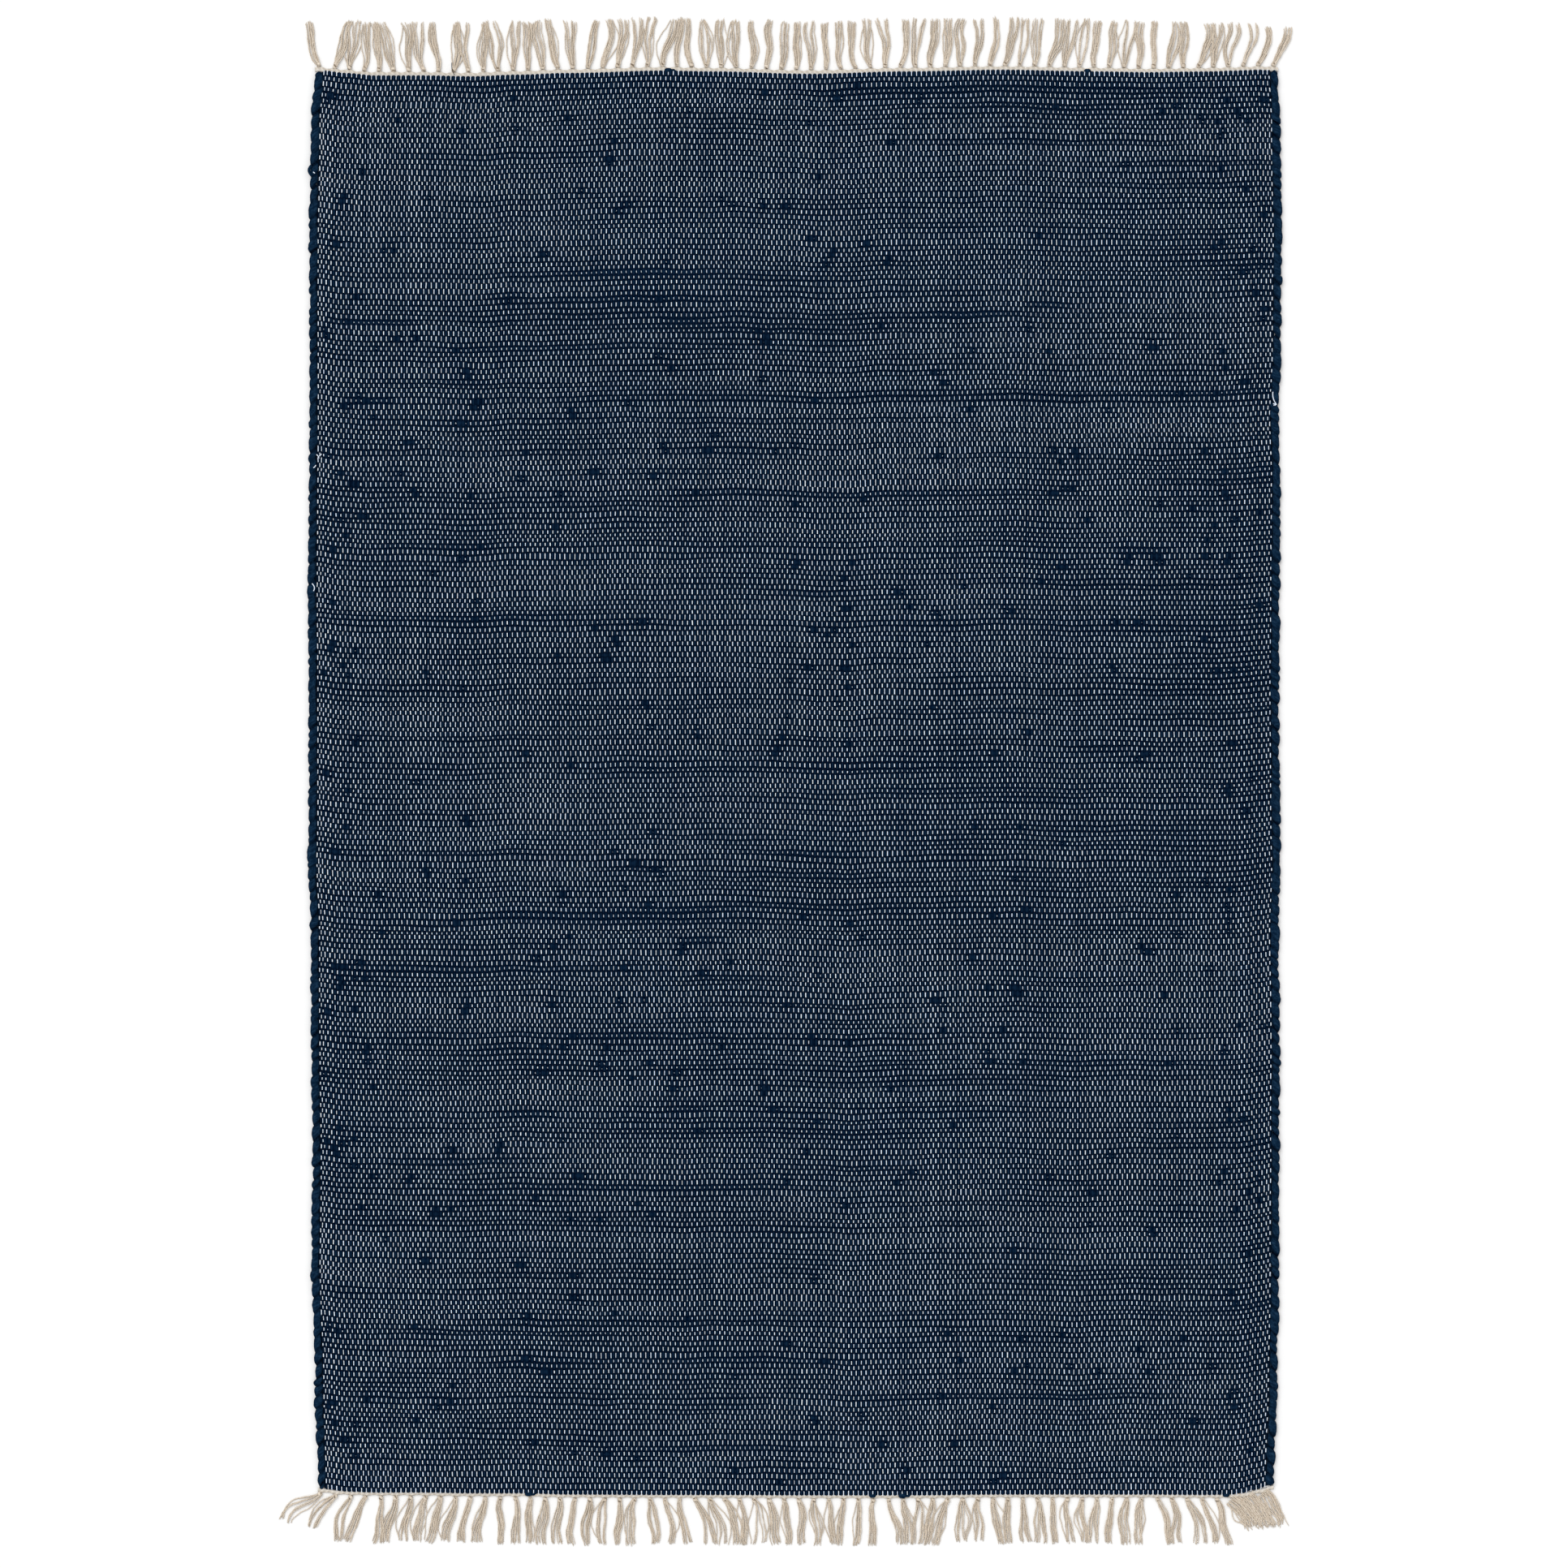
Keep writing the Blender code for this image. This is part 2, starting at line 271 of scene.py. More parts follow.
# Lumps of joined rag in the end rows, and loose threads lying on the cloth
RagEnd = namedtuple("RagEnd", "from_left outward size")
RAG_ENDS = (
    RagEnd(0.443, 1.0, 1.0),
    RagEnd(0.449, 1.0, 0.6),
    RagEnd(0.960, 1.0, 0.9),
    RagEnd(0.271, -1.0, 1.0),
    RagEnd(0.276, -1.0, 0.7),
    RagEnd(0.695, -1.0, 0.9),
    RagEnd(0.732, -1.0, 1.1),
    RagEnd(0.738, -1.0, 0.7),
    RagEnd(1.131, -1.0, 0.9),
)
RAG_END_RADII = (0.0034, 0.0046, 0.0030)
RAG_END_OUT = 0.0008
StrayThread = namedtuple("StrayThread", "colour from_left from_head right down bow height radius")
STRAY_THREADS = (
    StrayThread("cream", 0.0045, 0.6330, 0.0020, 0.0090, 0.0018, 0.0064, 0.0007),
    StrayThread("cream", 0.0100, 0.4740, 0.0030, 0.0045, 0.0005, 0.0062, 0.0007),
    StrayThread("cream", 0.0160, 0.4735, -0.0025, 0.0025, 0.0000, 0.0062, 0.0007),
    StrayThread("cream", 0.0062, 0.4905, 0.0028, -0.0030, 0.0004, 0.0062, 0.0007),
    StrayThread("cream", 0.0060, 0.1262, 0.0016, 0.0012, 0.0000, 0.0064, 0.0008),
    StrayThread("cream", 1.1882, 0.3970, 0.0020, 0.0120, -0.0010, 0.0064, 0.0007),
    StrayThread("cream", 1.1885, 0.4115, 0.0040, 0.0005, 0.0000, 0.0064, 0.0007),
    StrayThread("cream", 1.1890, 0.4135, 0.0035, -0.0010, 0.0000, 0.0064, 0.0007),
    StrayThread("cream", 1.1905, 0.4095, 0.0008, 0.0040, 0.0008, 0.0068, 0.0007),
    StrayThread("navy", 0.0036, 0.1180, 0.0000, 0.0120, -0.0030, 0.0048, 0.0024),
    StrayThread("navy", 0.1765, -0.0090, 0.0030, 0.0150, -0.0014, 0.0042, 0.0005),
)

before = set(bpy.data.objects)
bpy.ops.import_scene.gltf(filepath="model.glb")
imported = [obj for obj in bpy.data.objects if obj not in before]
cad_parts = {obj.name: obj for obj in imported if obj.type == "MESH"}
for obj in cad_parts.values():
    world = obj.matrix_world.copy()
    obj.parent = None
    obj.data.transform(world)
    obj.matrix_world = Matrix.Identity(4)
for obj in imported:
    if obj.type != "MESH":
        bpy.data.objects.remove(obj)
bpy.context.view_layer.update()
cloth_low, cloth_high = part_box("rug_body")
CLOTH_WIDTH = cloth_high[0] - cloth_low[0]
CLOTH_LENGTH = cloth_high[1] - cloth_low[1]
CLOTH_MIDDLE = np.array(
    ((cloth_low[0] + cloth_high[0]) / 2, (cloth_low[1] + cloth_high[1]) / 2, 0.0)
)
ROW_PITCH = CLOTH_LENGTH / ROWS


def eased(x, xs, ys):
    """Table lookup that eases from row to row: y0 + (y1 - y0) * (3 t^2 - 2 t^3)."""
    xs = np.asarray(xs)
    ys = np.asarray(ys)
    place = np.clip(np.searchsorted(xs, x) - 1, 0, len(xs) - 2)
    t = np.clip((x - xs[place]) / (xs[place + 1] - xs[place]), 0.0, 1.0)
    return ys[place] + (ys[place + 1] - ys[place]) * t * t * (3.0 - 2.0 * t)


def soft_hills(rng, shape, cells):
    """Random hills from -1 to 1: values on a coarse grid of cells, eased onto a finer grid."""
    hills = rng.uniform(-1.0, 1.0, (cells[0] + 1, cells[1] + 1))
    for count, steps in zip(shape, cells):
        place = np.linspace(0.0, steps, count)
        low = np.minimum(place.astype(int), steps - 1)
        t = (place - low)[:, None]
        t = t * t * (3.0 - 2.0 * t)
        hills = (hills[low] * (1.0 - t) + hills[low + 1] * t).T
    return hills


class Wire:
    """A node's output. Python's operators on it add Math nodes to its tree."""

    def __init__(self, tree, socket):
        self.tree = tree
        self.socket = socket

    def math(self, operation, *values):
        node = self.tree.nodes.new("ShaderNodeMath")
        node.operation = operation
        for socket, value in zip(node.inputs, values):
            plug(self.tree, socket, value)
        return Wire(self.tree, node.outputs[0])

    def __add__(self, other):
        return self.math("ADD", self, other)

    def __radd__(self, other):
        return self.math("ADD", other, self)

    def __sub__(self, other):
        return self.math("SUBTRACT", self, other)

    def __rsub__(self, other):
        return self.math("SUBTRACT", other, self)

    def __mul__(self, other):
        return self.math("MULTIPLY", self, other)

    def __rmul__(self, other):
        return self.math("MULTIPLY", other, self)

    def __truediv__(self, other):
        return self.math("DIVIDE", self, other)

    def __pow__(self, other):
        return self.math("POWER", self, other)

    def floor(self):
        return self.math("FLOOR", self)

    def fraction(self):
        return self.math("FRACT", self)

    def sine(self):
        return self.math("SINE", self)

    def cosine(self):
        return self.math("COSINE", self)

    def least(self, other):
        return self.math("MINIMUM", self, other)

    def most(self, other):
        return self.math("MAXIMUM", self, other)

    def held(self):
        return self.least(1.0).most(0.0)


def plug(tree, socket, value):
    """Links a wire to a socket, or sets the socket to a number, colour or vector."""
    if isinstance(value, Wire):
        tree.links.new(value.socket, socket)
    else:
        socket.default_value = value


class Finish:
    """A procedural material: a Principled shader with constant sockets and wires worked out."""

    def __init__(self, name, roughness, specular, sheen=0.0):
        self.material = bpy.data.materials.new(name)
        self.material.use_nodes = True
        self.tree = self.material.node_tree
        self.shader = self.tree.nodes["Principled BSDF"]
        self.shader.inputs["Roughness"].default_value = roughness
        self.shader.inputs["Specular IOR Level"].default_value = specular
        self.shader.inputs["Sheen Weight"].default_value = sheen
        self.shader.inputs["Metallic"].default_value = 0.0

    def add(self, kind, settings, sockets, output=0):
        """Any node but Math: its settings first, then the values or links of its sockets."""
        node = self.tree.nodes.new(kind)
        for name, value in settings.items():
            setattr(node, name, value)
        for name, value in sockets.items():
            plug(self.tree, node.inputs[name], value)
        return Wire(self.tree, node.outputs[output])

    def places(self):
        """Object coordinates, in metres."""
        return self.add("ShaderNodeTexCoord", {}, {}, "Object")

    def scaled(self, vector, scale):
        settings = {"operation": "MULTIPLY"}
        return self.add("ShaderNodeVectorMath", settings, {0: vector, 1: scale})

    def noise(self, vector, scale, detail=2.0, roughness=0.5):
        sockets = {"Vector": vector, "Scale": scale, "Detail": detail, "Roughness": roughness}
        return self.add("ShaderNodeTexNoise", {"noise_dimensions": "3D"}, sockets, "Fac")

    def chance(self, number):
        """A random value from 0 to 1 for each whole number."""
        settings = {"noise_dimensions": "1D"}
        return self.add("ShaderNodeTexWhiteNoise", settings, {"W": number}, "Value")

    def attribute(self, name):
        """The three values kept on the piece's points under this name."""
        vector = self.add("ShaderNodeAttribute", {"attribute_name": name}, {}, "Vector")
        split = self.tree.nodes.new("ShaderNodeSeparateXYZ")
        plug(self.tree, split.inputs[0], vector)
        return [Wire(self.tree, output) for output in split.outputs]

    def blend(self, factor, first, second):
        """Mix of two colours, which may each be a wire."""
        node = self.tree.nodes.new("ShaderNodeMix")
        node.data_type = "RGBA"
        plug(self.tree, node.inputs[0], factor)
        plug(self.tree, node.inputs[6], first)
        plug(self.tree, node.inputs[7], second)
        return Wire(self.tree, node.outputs[2])

    def colour(self, wire):
        plug(self.tree, self.shader.inputs["Base Color"], wire)

    def relief(self, height, depth, strength=1.0):
        """Raises the surface by height times depth, in metres, in its shading."""
        sockets = {"Height": height, "Distance": depth, "Strength": strength}
        bump = self.add("ShaderNodeBump", {}, sockets, "Normal")
        plug(self.tree, self.shader.inputs["Normal"], bump)


def colour(red, green, blue):
    return (red, green, blue, 1.0)


def navy_rag():
    """Rag weft: a rounded pillow between each two floats, and painted shade in the creases round it.

    The weave attribute holds the warp number, the row number and how far a slub covers the place.
    """
    finish = Finish("navy_rag_cotton", roughness=0.95, specular=0.0)
    warp, row, cover = finish.attribute("weave")
    row_number = row.floor()
    across = 0.5 - ((warp + row_number) * (TAU / 2)).cosine() * 0.5
    along = ((row - row_number) * (TAU / 2)).sine().most(0.0)
    rise = (along ** 0.5) * 0.45 + 0.55
    pillow = (across ** 2.0) * rise
    places = finish.places()
    fibres = finish.noise(finish.scaled(places, (380.0, 1500.0, 900.0)), 1.0, 3.0)
    patches = finish.noise(places, 14.0, 2.0)
    lumps = finish.noise(places, 230.0, 2.0)
    raised = pillow.most(cover * rise * (lumps * 1.8).held()).held()
    rag_tone = finish.chance(row_number + 0.5)
    # Painted shade: this colour darkens the rag in the creases and valleys round each pillow.
    crease = colour(0.0002, 0.0014, 0.0070)
    rag = finish.blend(rag_tone, colour(0.0023, 0.0108, 0.0310), colour(0.0039, 0.0162, 0.0430))
    worn = finish.blend(fibres * 0.5 + patches * 0.25, rag, colour(0.0072, 0.0268, 0.0650))
    # Painted crease shade goes where the pillow mask is low; slubs and dark runs cover it.
    finish.colour(finish.blend(raised ** 1.4, crease, worn))
    finish.relief(raised + fibres * 0.18, 0.0011)
    return finish.material


def cream_float():
    """Warp floats: bright cotton, each a little different, with a fine twist.

    The weave attribute holds the warp number, the row number and the place along the float.
    """
    finish = Finish("cream_warp_float", roughness=0.9, specular=0.1)
    warp, row, along = finish.attribute("weave")
    tone = finish.chance(warp * 17.0 + row * 3.0)
    warp_tone = finish.chance(warp + 0.5)
    fibres = finish.noise(finish.places(), 1100.0, 1.0)
    bright = (tone * 0.45 + warp_tone * 0.3 + fibres * 0.3).held()
    finish.colour(finish.blend(bright, colour(0.59, 0.715, 0.935), colour(0.91, 0.96, 1.00)))
    return finish.material


def cream_yarn():
    """Tassel yarn: beige cotton with its twist as slanting grooves.

    The twist attribute holds the turn round the yarn, the length along it and the yarn's number.
    """
    finish = Finish("cream_tassel_yarn", roughness=0.92, specular=0.1, sheen=0.05)
    around, along, number = finish.attribute("twist")
    twist = ((around + along * 620.0) * TAU).sine() * 0.5 + 0.5
    fibres = finish.noise(finish.places(), 600.0, 3.0)
    tone = finish.chance(number)
    pale = finish.blend(tone, colour(0.68, 0.587, 0.477), colour(0.82, 0.727, 0.613))
    # Painted shade, in part: the deep colour darkens the twist's grooves; the rest is random darker
    # fibres.
    deep = colour(0.47, 0.387, 0.297)
    finish.colour(finish.blend((twist * 0.35 + fibres * 1.7 - 0.45).held(), deep, pale))
    finish.relief(twist * 0.6 + fibres, 0.00014)
    return finish.material


def cream_knot():
    """Knots: the yarn's cotton, with painted brown shade in the groove that winds round each knot.

    The twist attribute holds the turn round the knot, the place along it and the knot's number.
    """
    finish = Finish("cream_knot", roughness=0.92, specular=0.1)
    around, along, number = finish.attribute("twist")
    fibres = finish.noise(finish.places(), 500.0, 2.0)
    winding = ((around + along * 1.4 + finish.chance(number)) * TAU).sine() * 0.5 + 0.5
    groove = ((winding - 0.55) * 3.0 + (fibres - 0.5) * 2.0).held()
    tone = finish.chance(number + 0.5)
    pale = finish.blend(tone, colour(0.60, 0.51, 0.41), colour(0.76, 0.67, 0.56))
    # Painted shade: dark brown where the groove winds round the knot.
    finish.colour(finish.blend(groove, pale, colour(0.20, 0.15, 0.105)))
    finish.relief(fibres - groove * 0.8, 0.0006)
    return finish.material


def cream_heading():
    """Twined heading: the same cotton, with fibres along its twist, paler beside the cloth.

    The twist attribute holds the place along the band in turns of its twine, and across it.
    """
    finish = Finish("cream_heading", roughness=0.92, specular=0.1)
    along, across, _ = finish.attribute("twist")
    twist = ((along + across * 0.5) * TAU).sine() * 0.5 + 0.5
    fibres = finish.noise(finish.places(), 800.0, 3.0)
    # Painted shade, in part: the dark cotton colour falls in the twine's grooves, the rest on random
    # fibres.
    twine_shade_and_fibres = (twist * 0.55 + fibres * 0.6).held()
    cotton = finish.blend(twine_shade_and_fibres, colour(0.43, 0.38, 0.315), colour(0.73, 0.665, 0.575))
    by_cloth = ((1.0 - across).held() ** 2.0) * 0.6
    finish.colour(finish.blend(by_cloth, cotton, colour(0.88, 0.87, 0.85)))
    finish.relief(twist + fibres * 0.5, 0.0005)
    return finish.material


def navy_roll():
    """Selvedge roll: matt navy rag with slanting wrinkles, painted paler on the tops of its folds.

    The roll attribute holds the turn round the roll, the slanting row and the depth of its creases.
    """
    finish = Finish("navy_selvedge_rag", roughness=0.95, specular=0.0)
    around, slanted, crease = finish.attribute("roll")
    places = finish.places()
    folds = finish.add("ShaderNodeCombineXYZ", {}, {"X": around * 3.5, "Y": slanted})
    wrinkles = finish.noise(folds, 2.2, 4.0, 0.7)
    fibres = finish.noise(places, 500.0, 3.0)
    patches = finish.noise(places, 60.0, 2.0)
    rag = finish.blend(patches, colour(0.0040, 0.0190, 0.0470), colour(0.0070, 0.0280, 0.0640))
    height = (wrinkles * 2.2 - 0.6 + fibres * 0.2).held()
    # Painted shade in the hollows of the wrinkles.
    wrinkle_shaded_rag = finish.blend(height, colour(0.0022, 0.0110, 0.0320), rag)
    # Painted highlight on the tops of the folds.
    tops = finish.blend(((height - 0.5) * 2.0).held(), wrinkle_shaded_rag, colour(0.0150, 0.0480, 0.1020))
    # Painted shade in the creases between the lumps.
    finish.colour(finish.blend((crease * 1.5 - 0.1).held(), tops, colour(0.0003, 0.0014, 0.0060)))
    finish.relief(height - crease * 0.8, 0.0020)
    return finish.material


def navy_underside():
    """Underside of the weave: the same pillows, floats coloured between them, painted shade by them."""
    finish = Finish("navy_rag_underside", roughness=0.95, specular=0.03)
    warp, row, _ = finish.attribute("weave")
    row_number = row.floor()
    across = ((warp + row_number) * (TAU / 2)).cosine()
    along = ((row - row_number) * (TAU / 2)).sine()
    float_here = ((across - 0.72) * 8.0).held() * ((along - 0.25) * 6.0).held()
    # Painted shade: the rag darkens towards the floats, where it dips.
    rag = finish.blend(across.most(0.0), colour(0.0085, 0.0240, 0.0520), colour(0.0012, 0.0035, 0.011))
    finish.colour(finish.blend(float_here, rag, colour(0.58, 0.58, 0.59)))
    finish.relief(across * -0.5, 0.0008)
    return finish.material


def floor_white():
    finish = Finish("floor_white", roughness=1.0, specular=0.0)
    finish.colour(colour(0.93, 0.93, 0.93))
    return finish.material


def make_mesh(name, points, faces, material, **values):
    """A smooth mesh from an array of points and one of faces, with named values on its points."""
    mesh = bpy.data.meshes.new(name)
    mesh.vertices.add(len(points))
    mesh.vertices.foreach_set("co", (points + CLOTH_MIDDLE).astype(np.float32).ravel())
    mesh.loops.add(faces.size)
    mesh.loops.foreach_set("vertex_index", faces.astype(np.int32).ravel())
    mesh.polygons.add(len(faces))
    starts = np.arange(0, faces.size, faces.shape[1], dtype=np.int32)
    mesh.polygons.foreach_set("loop_start", starts)
    mesh.polygons.foreach_set("use_smooth", np.ones(len(faces), dtype=bool))
    for label, kept in values.items():
        store = mesh.attributes.new(label, "FLOAT_VECTOR", "POINT")
        store.data.foreach_set("vector", kept.astype(np.float32).ravel())
    mesh.update(calc_edges=True)
    mesh.materials.append(material)
    piece = bpy.data.objects.new(name, mesh)
    bpy.context.scene.collection.objects.link(piece)
    return piece


def dress(piece, node):
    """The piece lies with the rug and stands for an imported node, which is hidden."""
    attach(piece, "root")
    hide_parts(node)
    return piece


def grid_faces(rows, columns):
    """Quads of a grid of points, facing up where rows run towards -Y and columns towards +X."""
    corner = (np.arange(rows - 1)[:, None] * columns + np.arange(columns - 1)).ravel()
    return np.stack((corner, corner + columns, corner + columns + 1, corner + 1), axis=1)


def swept_mesh(name, rings, tips, material, **values):
    """Closed tubes from rings of points, counts x rings x sides, with a point at each end.

    Each ring turns by the right hand about the way along the tube, so that the faces look out.
    """
    count, steps, sides = rings.shape[:3]
    ring = np.arange(steps - 1)[:, None] * sides
    side = np.arange(sides)
    after = (side + 1) % sides
    low, low_after = (ring + side).ravel(), (ring + after).ravel()
    high, high_after = low + sides, low_after + sides
    first, last = steps * sides, steps * sides + 1
    end = (steps - 1) * sides
    tube = np.concatenate(
        (
            np.stack((low, low_after, high_after), axis=1),
            np.stack((low, high_after, high), axis=1),
            np.stack((np.full(sides, first), after, side), axis=1),
            np.stack((np.full(sides, last), end + side, end + after), axis=1),
        )
    )
    each = steps * sides + 2
    faces = (np.arange(count)[:, None, None] * each + tube).reshape(-1, 3)
    points = np.concatenate((rings.reshape(count, -1, 3), tips), axis=1).reshape(-1, 3)
    spread = {}
    for label, (on_rings, on_tips) in values.items():
        joined = np.concatenate((on_rings.reshape(count, -1, 3), on_tips), axis=1)
        spread[label] = joined.reshape(-1, 3)
    return make_mesh(name, points, faces, material, **spread)


def edge_x(y, side):
    """Outer edge of the cloth on one side, -1 for left and 1 for right, at a place along it."""
    stations = np.array(EDGE_STATIONS)
    drawn_in = eased(CLOTH_LENGTH / 2 - y, stations[:, 0], stations[:, 1 if side < 0 else 2])
    return side * (CLOTH_WIDTH / 2 - drawn_in)


def end_y(x, outward):
    """End of the cloth, 1 for the head and -1 for the foot, at a place across it."""
    stations = np.array(END_STATIONS)
    drawn_in = eased(x + CLOTH_WIDTH / 2, stations[:, 0], stations[:, 1 if outward > 0 else 2])
    return outward * (CLOTH_LENGTH / 2 - drawn_in)


def slub_cover(rng):
    """How far slubs cover each row at each warp: a bell about each, and often a second beside it.

    A share of them lies near the long edges, where most rags end.
    """
    cover = np.zeros((ROWS, WARPS))
    warps = np.arange(WARPS)
    rows = rng.integers(2, ROWS - 2, SLUBS)
    places = rng.uniform(2, WARPS - 3, SLUBS)
    by_edge = rng.uniform(2, EDGE_SLUB_REACH, SLUBS)
    by_edge = np.where(rng.random(SLUBS) < 0.5, by_edge, WARPS - 1 - by_edge)
    places = np.where(rng.random(SLUBS) < EDGE_SLUB_SHARE, by_edge, places)
    widths = SLUB_WARPS * (1.0 + 1.0 * rng.random(SLUBS) ** 4)
    beside = np.where(rng.random(SLUBS) < 0.22, rng.choice((-1, 1), SLUBS), 0)
    strengths = rng.uniform(LEAST_SLUB, 1.0, SLUBS)
    for row, place, width, step, strength in zip(rows, places, widths, beside, strengths):
        bell = strength * np.exp(-(((warps - place) / width) ** 4))
        cover[row] = np.maximum(cover[row], bell)
        bell = 0.8 * strength * np.exp(-(((warps - place - 0.7 * width) / width) ** 4))
        cover[row + step] = np.maximum(cover[row + step], bell)
    return cover


def near_slub(cover):
    """How close a slub lies: the most cover two warps to either side, or on the row before or after."""
    near = np.zeros_like(cover)
    for step, axis in ((2, 1), (-2, 1), (1, 0), (-1, 0)):
        near = np.maximum(near, np.roll(cover, step, axis=axis))
    return near


def dark_runs(rng):
    """How far thick dark stretches hide each row's floats: a tapered plateau for each stretch."""
    runs = [
        (
            int(run.from_head / ROW_PITCH),
            run.from_left / CLOTH_WIDTH * WARPS,
            run.length / CLOTH_WIDTH * WARPS,
            run.strength,
        )
        for run in DARK_RUNS
    ]
    for _ in range(CHANCE_RUNS):
        runs.append(
            (
                rng.integers(2, ROWS - 2),
                rng.uniform(-20, WARPS - 20),
                rng.uniform(16, 170),
                0.12 + 0.46 * rng.random() ** 2,
            )
        )
    dark = np.zeros((ROWS, WARPS))
    warps = np.arange(WARPS)
    for row, first, length, strength in runs:
        t = np.clip((warps - first) / length, 0.0, 1.0)
        dark[row] = np.maximum(dark[row], strength * np.sqrt(np.sin(np.pi * t)))
    return dark


Weave = namedtuple("Weave", "x y thickness cover dark")


def lay_weave():
    """Place of every warp on every valley and crest line, with each row's own unevenness.

    A row's thickness is 1 plus a share for the whole row, for long stretches and for short ones,
    less most of the mean of its neighbours, as beating levels it. Rows add up from head to foot.
    """
    rng = np.random.default_rng(21)
    cover = slub_cover(rng)
    dark = dark_runs(rng)
    shape = (ROWS, WARPS)
    uneven = (
        ROW_NOISE * rng.uniform(-1.0, 1.0, (ROWS, 1))
        + STRETCH_NOISE * soft_hills(rng, shape, (ROWS - 1, 9))
        + PATCH_NOISE * soft_hills(rng, shape, (ROWS - 1, 34))
    )
    reach = BEAT_ROWS // 2
    padded = np.pad(uneven, ((reach + 1, reach), (0, 0)), mode="edge")
    running = np.cumsum(padded, axis=0)
    levelled = (running[BEAT_ROWS:] - running[:-BEAT_ROWS]) / BEAT_ROWS
    thickness = 1.0 + uneven - BEAT_LEVELLING * levelled + RUN_THICKENING * dark

    spacing = np.ones(WARPS + 1)
    spacing[:EDGE_WARPS] = EDGE_WARP_SPACING
    spacing[-EDGE_WARPS:] = EDGE_WARP_SPACING
    share = (np.cumsum(spacing) - spacing / 2)[:-1] / (spacing.sum() - spacing[-1])
    plain_x = (share - 0.5) * (CLOTH_WIDTH - 2.0 * ROLL_WIDTH)
    head = end_y(plain_x, 1.0)
    foot = end_y(plain_x, -1.0)
    edges = np.vstack((np.zeros((1, WARPS)), np.cumsum(thickness, axis=0)))
    edges = head + (foot - head) * edges / edges[-1]
    warps = np.arange(WARPS)
    edges[0] += END_SCALLOP * np.where(warps % 2 == 0, -1.0, 1.0)
    edges[-1] -= END_SCALLOP * np.where((warps + ROWS - 1) % 2 == 0, -1.0, 1.0)
    y = np.empty((2 * ROWS + 1, WARPS))
    y[0::2] = edges
    y[1::2] = 0.5 * (edges[:-1] + edges[1:])

    left = edge_x(y, -1.0) + ROLL_WIDTH
    right = edge_x(y, 1.0) - ROLL_WIDTH
    lines = (len(y), WARPS)
    wander = (
        REED_MARKS * rng.uniform(-1.0, 1.0, WARPS)
        + WARP_WANDER * soft_hills(rng, lines, (26, 30))
        + WARP_JITTER * soft_hills(rng, lines, (ROWS, 128))
    )
    x = left + (right - left) * share + wander
    return Weave(x, y, thickness, cover, dark)


def weft_heights(weave):
    """Heights of the rag: low in valleys and under floats, high on pillows and higher on slubs."""
    rows = np.arange(ROWS)[:, None]
    warps = np.arange(WARPS)
    over = ((rows + warps) % 2).astype(float)
    over = np.maximum(over, weave.cover)
    fullness = 0.86 + 0.14 * weave.thickness
    crest = (GROOVE_HEIGHT + (PILLOW_HEIGHT - GROOVE_HEIGHT) * over) * fullness
    crest = crest + SLUB_LIFT * weave.cover
    z = np.full(weave.y.shape, VALLEY_HEIGHT)
    z[1::2] = crest
    return z


def weft(weave, material):
    """Rag rows in strips, each a grid of valley and crest lines by warps, tucked under the rolls."""
    z = weft_heights(weave)
    points = np.stack((weave.x, weave.y, z), axis=2)
    lines = len(points)
    cover = np.zeros((lines, WARPS))
    cover[1::2] = np.maximum(weave.cover, RUN_COVER * weave.dark)
    cover[2:-2:2] = VALLEY_COVER * np.maximum(cover[1:-3:2], cover[3:-1:2])
    row = np.repeat(np.arange(lines)[:, None] / 2.0, WARPS, axis=1)
    warp = np.repeat(np.arange(WARPS, dtype=float)[None, :], lines, axis=0)
    values = np.stack((warp, row, cover), axis=2)
    left = points[:, :1] - (HEM_TUCK, 0.0, 0.0)
    right = points[:, -1:] + (HEM_TUCK, 0.0, 0.0)
    left[:, :, 2] = HEM_HEIGHT
    right[:, :, 2] = HEM_HEIGHT
    points = np.concatenate((left, points, right), axis=1)
    values = np.concatenate((values[:, :1] - (1, 0, 0), values, values[:, -1:] + (1, 0, 0)), axis=1)
    cuts = np.linspace(0, WARPS + 1, STRIPS + 1).astype(int)
    strips = []
    for number in range(STRIPS):
        first, last = cuts[number], cuts[number + 1] + 1
        part = points[:, first:last]
        faces = grid_faces(*part.shape[:2])
        kept = values[:, first:last].reshape(-1, 3)
        name = f"weft_strip_{number + 1}"
        strip = make_mesh(name, part.reshape(-1, 3), faces, material, weave=kept)
        strips.append(dress(strip, "rug_body"))
    return strips


